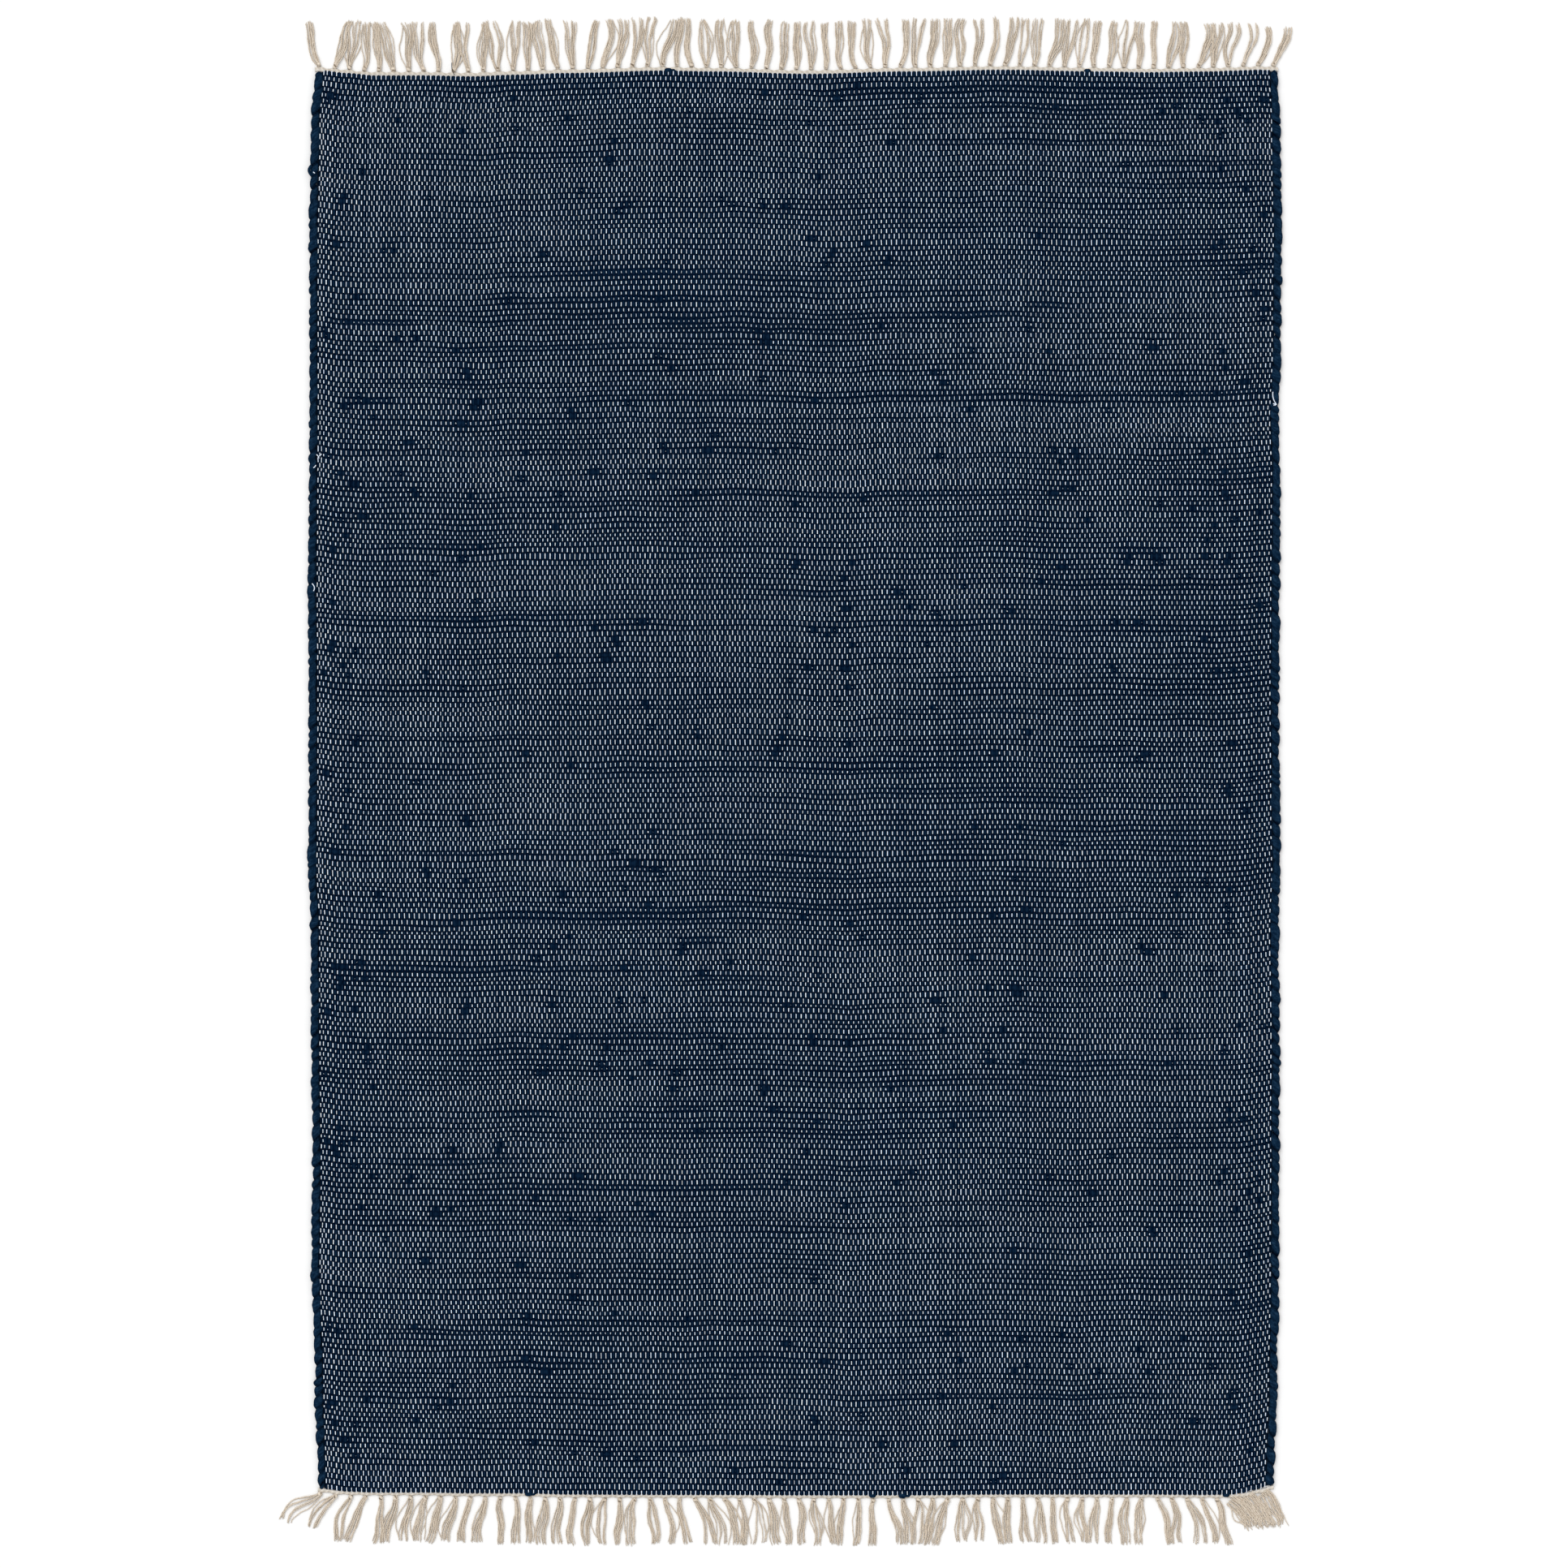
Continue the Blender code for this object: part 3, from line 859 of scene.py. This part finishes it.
def warp_floats(weave, material):
    """Cream floats: where the warp lies over the rag, a domed hexagon whose ends dive under.

    A float's length is the row's thickness times the part that shows, which is less where the row
    is dark or a slub lies. On the first and the last row a float reaches on to the heading.
    """
    rng = np.random.default_rng(33)
    rows = np.arange(ROWS)[:, None]
    warps = np.arange(WARPS)
    x, y = weave.x[1::2].copy(), weave.y[1::2].copy()
    tall = weave.y[0:-2:2] - weave.y[2::2]
    shown_part = (1.0 - 0.60 * weave.dark) * (1.0 - 0.8 * weave.cover)
    shown_part = shown_part * (1.0 - 0.35 * near_slub(weave.cover))
    for layer in SHOWING:
        cells = (max(ROWS // layer.rows, 2) - 1, layer.stretches)
        shown_part = shown_part * (1.0 + layer.share * soft_hills(rng, tall.shape, cells))
    half = 0.5 * tall * shown_part * rng.uniform(0.76, 0.92, tall.shape)
    slant = (weave.x[0:-2:2] - weave.x[2::2]) / tall + rng.normal(0.0, 0.020, tall.shape)
    shown = ((rows + warps) % 2 == 0) & (half > SHORTEST_FLOAT)
    half[[0, -1]] += END_FLOAT
    y[0] += END_FLOAT
    y[-1] -= END_FLOAT
    each_warp = 1.0 + WARP_UNEVENNESS * rng.uniform(-1.0, 1.0, WARPS)
    width = FLOAT_WIDTH * each_warp * rng.uniform(0.84, 1.12, half.shape) * (1.0 - 0.3 * weave.dark)
    height = FLOAT_HEIGHT - 0.0008 * weave.dark
    shape = np.array(
        (
            (0.0, 0.0, 0.0),
            (0.0, 1.18, FLOAT_END_DIP),
            (-0.5, 0.74, FLOAT_SHOULDER_DIP),
            (-0.5, -0.74, FLOAT_SHOULDER_DIP),
            (0.0, -1.18, FLOAT_END_DIP),
            (0.5, -0.74, FLOAT_SHOULDER_DIP),
            (0.5, 0.74, FLOAT_SHOULDER_DIP),
        )
    )
    across, along, dip = shape.T
    rim = np.arange(6) + 1
    fan = np.stack((np.zeros(6, dtype=int), rim, np.roll(rim, -1)), axis=1)
    pieces = []
    for name, picked in (("left", warps < WARPS // 2), ("right", warps >= WARPS // 2)):
        row, warp = np.nonzero(shown & picked)
        here = (row, warp)
        reach = along * half[here][:, None]
        points = np.stack(
            (
                x[here][:, None] + across * width[here][:, None] + slant[here][:, None] * reach,
                y[here][:, None] + reach,
                height[here][:, None] - dip,
            ),
            axis=2,
        )
        faces = (np.arange(len(row))[:, None, None] * len(shape) + fan).reshape(-1, 3)
        spread = np.ones(len(shape))
        kept = np.stack((warp[:, None] * spread, row[:, None] * spread, reach), axis=2)
        piece = make_mesh(
            f"warp_floats_{name}", points.reshape(-1, 3), faces, material, weave=kept.reshape(-1, 3)
        )
        pieces.append(dress(piece, "rug_body"))
    return pieces


def selvedge(weave, side, material):
    """Rolled edge: a tube whose radius swells over each lump and pinches on a slanting crease.

    Radius is 1.05 - 0.66 d (1 - root of the sine along the lump), times the lump's own size, where
    d is the depth of the crease at that end of it. The round of the tube is squared by a power.
    """
    rng = np.random.default_rng(41 if side < 0 else 42)
    steps = ROWS * ROLL_STEPS_PER_ROW + 1
    row = np.linspace(0.0, ROWS, steps)
    edge_line = weave.y[:, 0 if side < 0 else -1]
    y = np.interp(row * 2.0, np.arange(len(edge_line)), edge_line)
    turn = np.arange(ROLL_SIDES) / ROLL_SIDES
    angle = TAU * turn
    lengths = LUMP_ROWS * rng.uniform(0.6, 1.35, int(1.5 * ROWS / LUMP_ROWS))
    starts = np.concatenate(([-LUMP_ROWS], np.cumsum(lengths) - LUMP_ROWS))
    sizes = rng.uniform(0.88, 1.20, len(starts))
    shifts = rng.uniform(-0.0003, 0.0009, len(starts))
    depths = rng.uniform(LEAST_CREASE, 1.0, len(starts) + 1)
    slanted = row[:, None] - side * LUMP_SLANT * LUMP_ROWS * np.cos(angle)
    lump = np.clip(np.searchsorted(starts, slanted, side="right") - 1, 0, len(starts) - 2)
    t = np.clip((slanted - starts[lump]) / (starts[lump + 1] - starts[lump]), 0.0, 1.0)
    crease = np.where(t < 0.5, depths[lump], depths[lump + 1]) * (1.0 - np.sin(np.pi * t) ** 0.5)
    wrinkle = 0.06 * soft_hills(rng, (steps, ROLL_SIDES), (steps // 2, ROLL_SIDES - 1))
    swell = (1.05 - 0.66 * crease + wrinkle) * sizes[lump]
    from_end = np.clip(np.minimum(row, ROWS - row) / ROLL_END_ROWS, 0.0, 1.0)
    dome = np.sqrt(np.clip(1.0 - (1.0 - from_end) ** 2, 0.02, 1.0))[:, None]
    wide = 0.5 * ROLL_WIDTH * swell * dome
    tall = 0.5 * ROLL_HEIGHT * np.minimum(swell, 1.0) * dome
    middle = edge_x(y, side)[:, None] - side * (0.5 * ROLL_WIDTH - shifts[lump])
    across = np.sign(np.cos(angle)) * np.abs(np.cos(angle)) ** ROLL_SQUARENESS
    upward = np.sign(np.sin(angle)) * np.abs(np.sin(angle)) ** ROLL_SQUARENESS
    rings = np.stack(
        (
            middle + wide * across,
            np.broadcast_to(y[:, None], wide.shape),
            0.5 * ROLL_HEIGHT + tall * upward,
        ),
        axis=2,
    )[None, :, ::-1]
    kept = np.stack((np.broadcast_to(turn, wide.shape), slanted, crease), axis=2)[None, :, ::-1]
    ends = rings.mean(axis=2)[:, [0, -1]]
    name = "selvedge_left" if side < 0 else "selvedge_right"
    piece = swept_mesh(name, rings, ends, material, roll=(kept, np.zeros((1, 2, 3))))
    return dress(piece, "rug_body")


def underside(weave, material):
    """Ribbed sheet just over the floor, which closes the cloth from below."""
    columns = np.linspace(0, WARPS - 1, 13).astype(int)
    x = weave.x[:, columns].copy()
    x[:, 0] = edge_x(weave.y[:, 0], -1.0) + 0.35 * ROLL_WIDTH
    x[:, -1] = edge_x(weave.y[:, -1], 1.0) - 0.35 * ROLL_WIDTH
    y = weave.y[:, columns]
    z = np.where(np.arange(len(y)) % 2 == 0, 0.0012, 0.0003)[:, None] * np.ones(len(columns))
    points = np.stack((x, y, z), axis=2)
    row = np.repeat(np.arange(len(y))[:, None] / 2.0, len(columns), axis=1)
    warp = np.repeat(columns[None, :].astype(float), len(y), axis=0)
    kept = np.stack((warp, row, np.zeros_like(row)), axis=2)
    faces = grid_faces(len(y), len(columns))[:, ::-1]
    piece = make_mesh(
        "weave_underside", points.reshape(-1, 3), faces, material, weave=kept.reshape(-1, 3)
    )
    return dress(piece, "rug_body")


Tassel = namedtuple("Tassel", "root lean reach")


def tassel_row(end):
    """Knots evenly spaced along the heading, with tips kept in order and clear of each other."""
    rng = np.random.default_rng(end.seed)
    leans = []
    reaches = []
    for bunch in end.bunches:
        leans.extend(np.linspace(bunch.first_lean, bunch.last_lean, bunch.tassels))
        reaches.extend([bunch.reach] * bunch.tassels)
    first = -CLOTH_WIDTH / 2 + end.left_root
    last = CLOTH_WIDTH / 2 - end.right_root
    roots = np.linspace(first, last, len(leans))
    tassels = []
    tip_limit = -CLOTH_WIDTH
    for x, lean, reach in zip(roots, leans, reaches):
        tip = max(x + lean + rng.uniform(-LEAN_JITTER, LEAN_JITTER), tip_limit)
        tip_limit = tip + TIP_SPACING
        reach = reach + rng.uniform(-REACH_JITTER, 0.0)
        y = end_y(x, end.outward) + end.outward * (CLOTH_GAP + end.heading_depth)
        tassels.append((x, y, tip - x, reach))
    x, y, lean, reach = np.array(tassels).T
    return Tassel(np.stack((x, y), axis=1), lean, reach)


def some(tassels, first, last):
    """The tassels from the first up to, and without, the last."""
    return Tassel(*(values[first:last] for values in tassels))


def heading(end, tassels, material):
    """Twined band along the end: an arched strip, scalloped between knots, ridged by its twist.

    Its ridges run one way on the inner cord and the other way on the outer one.
    """
    profile = np.linspace(0.0, 1.0, 7)
    left = edge_x(end.outward * CLOTH_LENGTH / 2, -1.0) - 0.0002
    right = edge_x(end.outward * CLOTH_LENGTH / 2, 1.0) + 0.0002
    x = np.linspace(left, right, HEADING_COLUMNS)
    pitch = tassels.root[1, 0] - tassels.root[0, 0]
    near_knot = np.abs(np.cos(np.pi * (x - tassels.root[0, 0]) / pitch)) ** 1.5
    depth = end.heading_depth * (1.0 - HEADING_SCALLOP + HEADING_SCALLOP * near_knot)
    inner = end_y(x, end.outward) - end.outward * HEADING_TUCK
    across = profile[:, None]
    span = depth + HEADING_TUCK
    y = inner + end.outward * span * across
    arch = np.sqrt(np.clip(1.0 - (2.0 * across - 1.0) ** 4, 0.0, 1.0))
    twine = x / TWINE_PITCH
    ridge = np.sin(TAU * (twine + 0.55 * np.abs(2.0 * across - 1.0)))
    pair = 0.00025 * np.cos(TAU * 2.0 * (across - 0.5)) * -1.0
    z = 0.0004 + (HEADING_HEIGHT - 0.0004) * arch + arch * (TWINE_RELIEF * ridge + pair)
    points = np.stack((np.broadcast_to(x, y.shape), y, z), axis=2)
    faces = grid_faces(*points.shape[:2])
    if end.outward > 0:
        faces = faces[:, ::-1]
    kept = np.stack((np.broadcast_to(twine, y.shape), np.broadcast_to(across, y.shape), z), axis=2)
    piece = make_mesh(
        f"heading_{end.name}", points.reshape(-1, 3), faces, material, twist=kept.reshape(-1, 3)
    )
    return dress(piece, f"fringe_{end.name}")


def eggs(centre, run, radii, size, waist):
    """Rings, tips and places along eggs that lie on their run: half their width is sin(pi t) ^ 0.8.

    The waist is the depth of a groove round the middle.
    """
    t = np.linspace(0.07, 0.93, EGG_STEPS)
    angle = TAU * np.arange(EGG_SIDES) / EGG_SIDES
    groove = 1.0 - waist * np.exp(-(((t - 0.5) / 0.12) ** 2))
    radius = (np.sin(np.pi * t) ** 0.8 * groove)[:, None]
    flat = np.zeros((len(run), 1))
    ahead = np.concatenate((run, flat), axis=1)[:, None, None]
    side = np.stack((-run[:, 1], run[:, 0], flat[:, 0]), axis=1)[:, None, None]
    up = np.array((0.0, 0.0, 1.0))
    wide, long, tall = radii
    centre = np.concatenate((centre, flat + tall + 0.0001), axis=1)[:, None, None]
    rings = centre + size[:, None, None, None] * (
        (-long * np.cos(np.pi * t))[:, None, None] * ahead
        + (wide * radius * np.cos(angle))[..., None] * side
        + (tall * radius * np.sin(angle))[..., None] * up
    )
    tips = np.concatenate((centre - long * ahead, centre + long * ahead), axis=2)[:, 0]
    return rings, tips, t


def knots(end, tassels, material):
    """A knot at each root: an egg a little wider than long, with a groove round its waist."""
    rng = np.random.default_rng(end.seed + 50)
    count = len(tassels.lean)
    size = rng.uniform(0.82, 1.1, count)
    run = np.stack((tassels.lean * LEAN_START, end.outward * tassels.reach), axis=1)
    run = run / np.linalg.norm(run, axis=1, keepdims=True)
    centre = tassels.root + run * KNOT_AHEAD
    rings, tips, t = eggs(centre, run, KNOT_RADII, size, KNOT_GROOVE)
    kept = np.zeros(rings.shape)
    kept[..., 0] = np.arange(EGG_SIDES) / EGG_SIDES
    kept[..., 1] = t[:, None]
    kept[..., 2] = np.arange(count)[:, None, None]
    ends = np.zeros((count, 2, 3))
    ends[:, 1, 1] = 1.0
    ends[..., 2] = np.arange(count)[:, None]
    piece = swept_mesh(f"knots_{end.name}", rings, tips, material, twist=(kept, ends))
    return dress(piece, f"fringe_{end.name}")


def rag_ends(material):
    """Lumps of rag that stand out over the heading, where a rag was joined in the end row."""
    places = np.array([(lump.from_left, lump.outward) for lump in RAG_ENDS])
    size = np.array([lump.size for lump in RAG_ENDS])
    x = places[:, 0] - CLOTH_WIDTH / 2
    outward = places[:, 1]
    ends = np.array([end_y(here, way) for here, way in zip(x, outward)])
    y = ends + outward * RAG_END_OUT
    run = np.tile((1.0, 0.0), (len(x), 1))
    rings, tips, t = eggs(np.stack((x, y), axis=1), run, RAG_END_RADII, size, 0.12)
    kept = np.zeros(rings.shape)
    kept[..., 0] = np.arange(EGG_SIDES) / EGG_SIDES
    kept[..., 1] = (np.arange(len(x))[:, None] * 5.0 + t * 1.5)[..., None]
    piece = swept_mesh("rag_ends", rings, tips, material, roll=(kept, kept[:, 0, :2]))
    return dress(piece, "rug_body")


def stray_threads(material, label, colour_name):
    """Loose threads of one colour that lie on the cloth, each along a line with a sideways arch."""
    threads = [thread for thread in STRAY_THREADS if thread.colour == colour_name]
    t = np.linspace(0.0, 1.0, YARN_STEPS)
    paths = []
    for thread in threads:
        x = thread.from_left - CLOTH_WIDTH / 2 + thread.right * t + thread.bow * np.sin(np.pi * t)
        y = CLOTH_LENGTH / 2 - thread.from_head - thread.down * t
        z = np.full(YARN_STEPS, thread.height)
        paths.append(np.stack((x, y, z), axis=1))
    radius = np.repeat([[thread.radius] for thread in threads], YARN_STEPS, axis=1)
    piece = tubes(f"stray_threads_{colour_name}", np.array(paths), radius, material, label)
    return dress(piece, "rug_body")


def tassel_paths(end, tassels, layer):
    """Middle line and thickness of every yarn: tassels x yarns x steps.

    A path is the tassel's middle line, which sways by one and by two sine arches, plus the yarn's
    share of the spread, which is narrow at the knot and wide at the belly. Some tassels part in two
    halves that meet again in an eye, or that fork to their tips, and a few yarns stray in a bow.
    The yarns of undone tassels spread alike all the way, so that those tassels run together.
    """
    rng = np.random.default_rng(end.seed + 70 + layer)
    count = len(tassels.lean)
    each, shape = (count, 1, 1), (count, YARNS, 1)
    t = np.linspace(0.0, 1.0, YARN_STEPS)
    ease = t * (LEAN_START - (LEAN_START - 1.0) * t)
    arch = np.sin(np.pi * t)
    place = np.linspace(-1.0, 1.0, YARNS)[:, None]
    half = np.sign(place)
    share = place + rng.uniform(-0.22, 0.22, shape)
    undone = (np.arange(count) >= count - end.undone)[:, None, None]
    neck = np.where(undone, UNDONE_SPREAD, TASSEL_NECK)
    belly = np.where(undone, UNDONE_SPREAD, rng.uniform(0.0022, 0.0037, each))
    tip = np.where(undone, 0.85 * UNDONE_SPREAD, rng.uniform(0.0028, 0.0054, each))
    spread = neck + (belly - neck) * arch ** 0.8 + (tip - neck) * t ** 2
    eye = (rng.random(each) < 0.16) * rng.uniform(0.0008, 0.0024, each) * arch
    fork = (rng.random(each) < 0.32) * rng.uniform(0.0010, 0.0036, each) * t ** 1.6
    sway = rng.uniform(-0.0032, 0.0032, each) * arch
    sway = sway + rng.uniform(-0.0018, 0.0018, each) * np.sin(TAU * t)
    sway = sway + rng.uniform(-0.0009, 0.0009, each) * np.sin(1.5 * TAU * t)
    wander = rng.uniform(-0.0008, 0.0008, shape) * np.sin(TAU * t * rng.uniform(0.5, 1.4, shape))
    crimp = 0.00032 * np.sin(TAU * (t * rng.uniform(3.0, 4.6, shape) + rng.random(shape)))
    stray = (rng.random(shape) < 0.085) * half
    bow = stray * rng.uniform(0.0020, 0.0090, shape) * arch ** 1.2
    offset = share * spread + half * (eye + fork) + sway + wander + crimp + bow

    length = 1.0 + rng.uniform(-0.045, 0.025, shape) - 0.20 * undone * rng.random(shape)
    reach = end.outward * tassels.reach[:, None, None]
    lean = tassels.lean[:, None, None]
    run_x = lean * (LEAN_START - 2.0 * (LEAN_START - 1.0) * t)
    run_length = np.hypot(run_x, reach)
    x = tassels.root[:, 0, None, None] + lean * ease * length + offset * np.abs(reach) / run_length
    y = tassels.root[:, 1, None, None] + reach * t * length - offset * run_x / run_length * end.outward
    radius = YARN_RADIUS * rng.uniform(0.86, 1.14, shape) * (1.0 - 0.25 * t ** 6)
    layer = (np.arange(YARNS) % 2)[:, None]
    loft = (YARN_LAYER * layer * (1.0 - 0.45 * t)) * (1.0 - 0.8 * np.abs(stray) * arch)
    z = radius + 0.0001 + loft + KNOT_LIFT * np.exp(-t / 0.06)
    return np.stack((x, y, z), axis=3).reshape(-1, YARN_STEPS, 3), radius.reshape(-1, YARN_STEPS)


def tassel_yarns(end, paths, radius, material):
    """Yarns of every tassel, each a thin tube along its own path."""
    piece = tubes(f"tassel_yarns_{end.name}", paths, radius, material)
    return dress(piece, f"fringe_{end.name}")


def frayed_tips(end, paths, material):
    """Loose fibres at each yarn's tip: thin three-sided spindles, splayed about its last stretch."""
    rng = np.random.default_rng(end.seed + 90)
    tip = np.repeat(paths[:, -1], FRAY_FIBRES, axis=0)
    run = np.repeat(paths[:, -1] - paths[:, -2], FRAY_FIBRES, axis=0)
    turn = np.arctan2(run[:, 1], run[:, 0]) + rng.normal(0.0, 0.45, len(run))
    ahead = np.stack((np.cos(turn), np.sin(turn), np.zeros(len(run))), axis=1)
    side = np.stack((-ahead[:, 1], ahead[:, 0], ahead[:, 2]), axis=1)
    up = np.array((0.0, 0.0, 1.0))
    length = rng.uniform(0.0016, 0.0036, (len(run), 1))
    start = tip - 0.0010 * ahead
    fat = start + 0.35 * length * ahead
    angle = TAU * np.arange(3) / 3
    ring = fat[:, None] + FRAY_RADIUS * (
        np.cos(angle)[:, None] * side[:, None] + np.sin(angle)[:, None] * up
    )
    stop = start + length * ahead
    stop[:, 2] = 0.5 * stop[:, 2] + 0.0001
    ends = np.stack((start, stop), axis=1)
    kept = np.zeros((len(run), 1, 3, 3))
    kept[..., 2] = np.arange(len(run))[:, None, None]
    piece = swept_mesh(
        f"frayed_tips_{end.name}", ring[:, None], ends, material, twist=(kept, kept[:, 0, :2])
    )
    return dress(piece, f"fringe_{end.name}")


def tubes(name, path, radius, material, label="twist"):
    """Round yarns about flat-lying paths: at each step a ring, point = path + r (cos a, sin a)."""
    run = np.gradient(path, axis=1)
    run[..., 2] = 0.0
    run = run / np.linalg.norm(run, axis=2, keepdims=True)
    side = np.stack((-run[..., 1], run[..., 0], np.zeros(run.shape[:2])), axis=2)
    angle = TAU * (np.arange(YARN_SIDES) + 0.5) / YARN_SIDES
    up = np.array((0.0, 0.0, 1.0))
    rings = path[:, :, None] + radius[:, :, None, None] * (
        np.cos(angle)[:, None] * side[:, :, None] + np.sin(angle)[:, None] * up
    )
    tips = np.stack(
        (path[:, 0] - 0.0002 * run[:, 0], path[:, -1] + radius[:, -1:] * run[:, -1]), axis=1
    )
    gone = np.linalg.norm(np.diff(path, axis=1), axis=2)
    along = np.concatenate((np.zeros((len(path), 1)), np.cumsum(gone, axis=1)), axis=1)
    kept = np.empty(rings.shape)
    kept[..., 0] = np.arange(YARN_SIDES) / YARN_SIDES
    kept[..., 1] = along[..., None]
    kept[..., 2] = np.arange(len(path))[:, None, None]
    ends = np.zeros(tips.shape)
    ends[:, 1, 1] = along[:, -1]
    ends[..., 2] = np.arange(len(path))[:, None]
    return swept_mesh(name, rings, tips, material, **{label: (kept, ends)})


def lay_rug():
    """Every piece of the rug."""
    weave = lay_weave()
    strips = weft(weave, navy_rag())
    pale = cream_float()
    floats = warp_floats(weave, pale)
    roll = navy_roll()
    rolls = [selvedge(weave, side, roll) for side in (-1.0, 1.0)]
    below = underside(weave, navy_underside())
    band, yarn, knot = cream_heading(), cream_yarn(), cream_knot()
    trims = [
        rag_ends(roll),
        stray_threads(pale, "weave", "cream"),
        stray_threads(roll, "roll", "navy"),
    ]
    for end in ENDS:
        tassels = tassel_row(end)
        tied = len(tassels.lean) - end.undone
        trims.append(heading(end, tassels, band))
        trims.append(knots(end, some(tassels, 0, tied), knot))
        layers = [tassel_paths(end, tassels, 0)]
        if end.undone:
            loose = some(tassels, tied, None)
            layers.extend(tassel_paths(end, loose, layer) for layer in range(1, UNDONE_LAYERS))
        paths, radius = (np.concatenate(parts) for parts in zip(*layers))
        trims.append(tassel_yarns(end, paths, radius, yarn))
        trims.append(frayed_tips(end, paths, yarn))


def set_stage():
    """A wide white floor under a white sky, with one broad soft sun from the upper left."""
    bpy.ops.mesh.primitive_plane_add(size=60.0, location=(0.0, 0.0, -0.0001))
    floor = bpy.context.active_object
    floor.name = "floor"
    floor.data.materials.append(floor_white())

    world = bpy.data.worlds.new("studio")
    bpy.context.scene.world = world
    world.use_nodes = True
    sky = world.node_tree.nodes["Background"]
    sky.inputs["Color"].default_value = (1.0, 1.0, 1.0, 1.0)
    sky.inputs["Strength"].default_value = 0.82

    sun = bpy.data.lights.new("soft_sun", "SUN")
    sun.energy = 1.25
    sun.angle = 0.7
    lamp = bpy.data.objects.new("soft_sun", sun)
    lamp.rotation_euler = (-0.55, -0.45, 0.0)
    bpy.context.scene.collection.objects.link(lamp)


def set_camera():
    """Straight above the rug, far enough for a long lens to take in the photograph's width."""
    lens = bpy.data.cameras.new("camera")
    lens.type = "PERSP"
    lens.lens = LENS
    lens.sensor_width = SENSOR
    lens.sensor_fit = "HORIZONTAL"
    lens.clip_end = 100.0
    camera = bpy.data.objects.new("camera", lens)
    distance = PHOTO_WIDTH * LENS / SENSOR
    camera.location = CLOTH_MIDDLE + (*PHOTO_MIDDLE, distance + PILLOW_HEIGHT)
    bpy.context.scene.collection.objects.link(camera)
    bpy.context.scene.camera = camera
    bpy.context.scene.view_settings.view_transform = "Standard"


set_camera()
set_stage()
lay_rug()
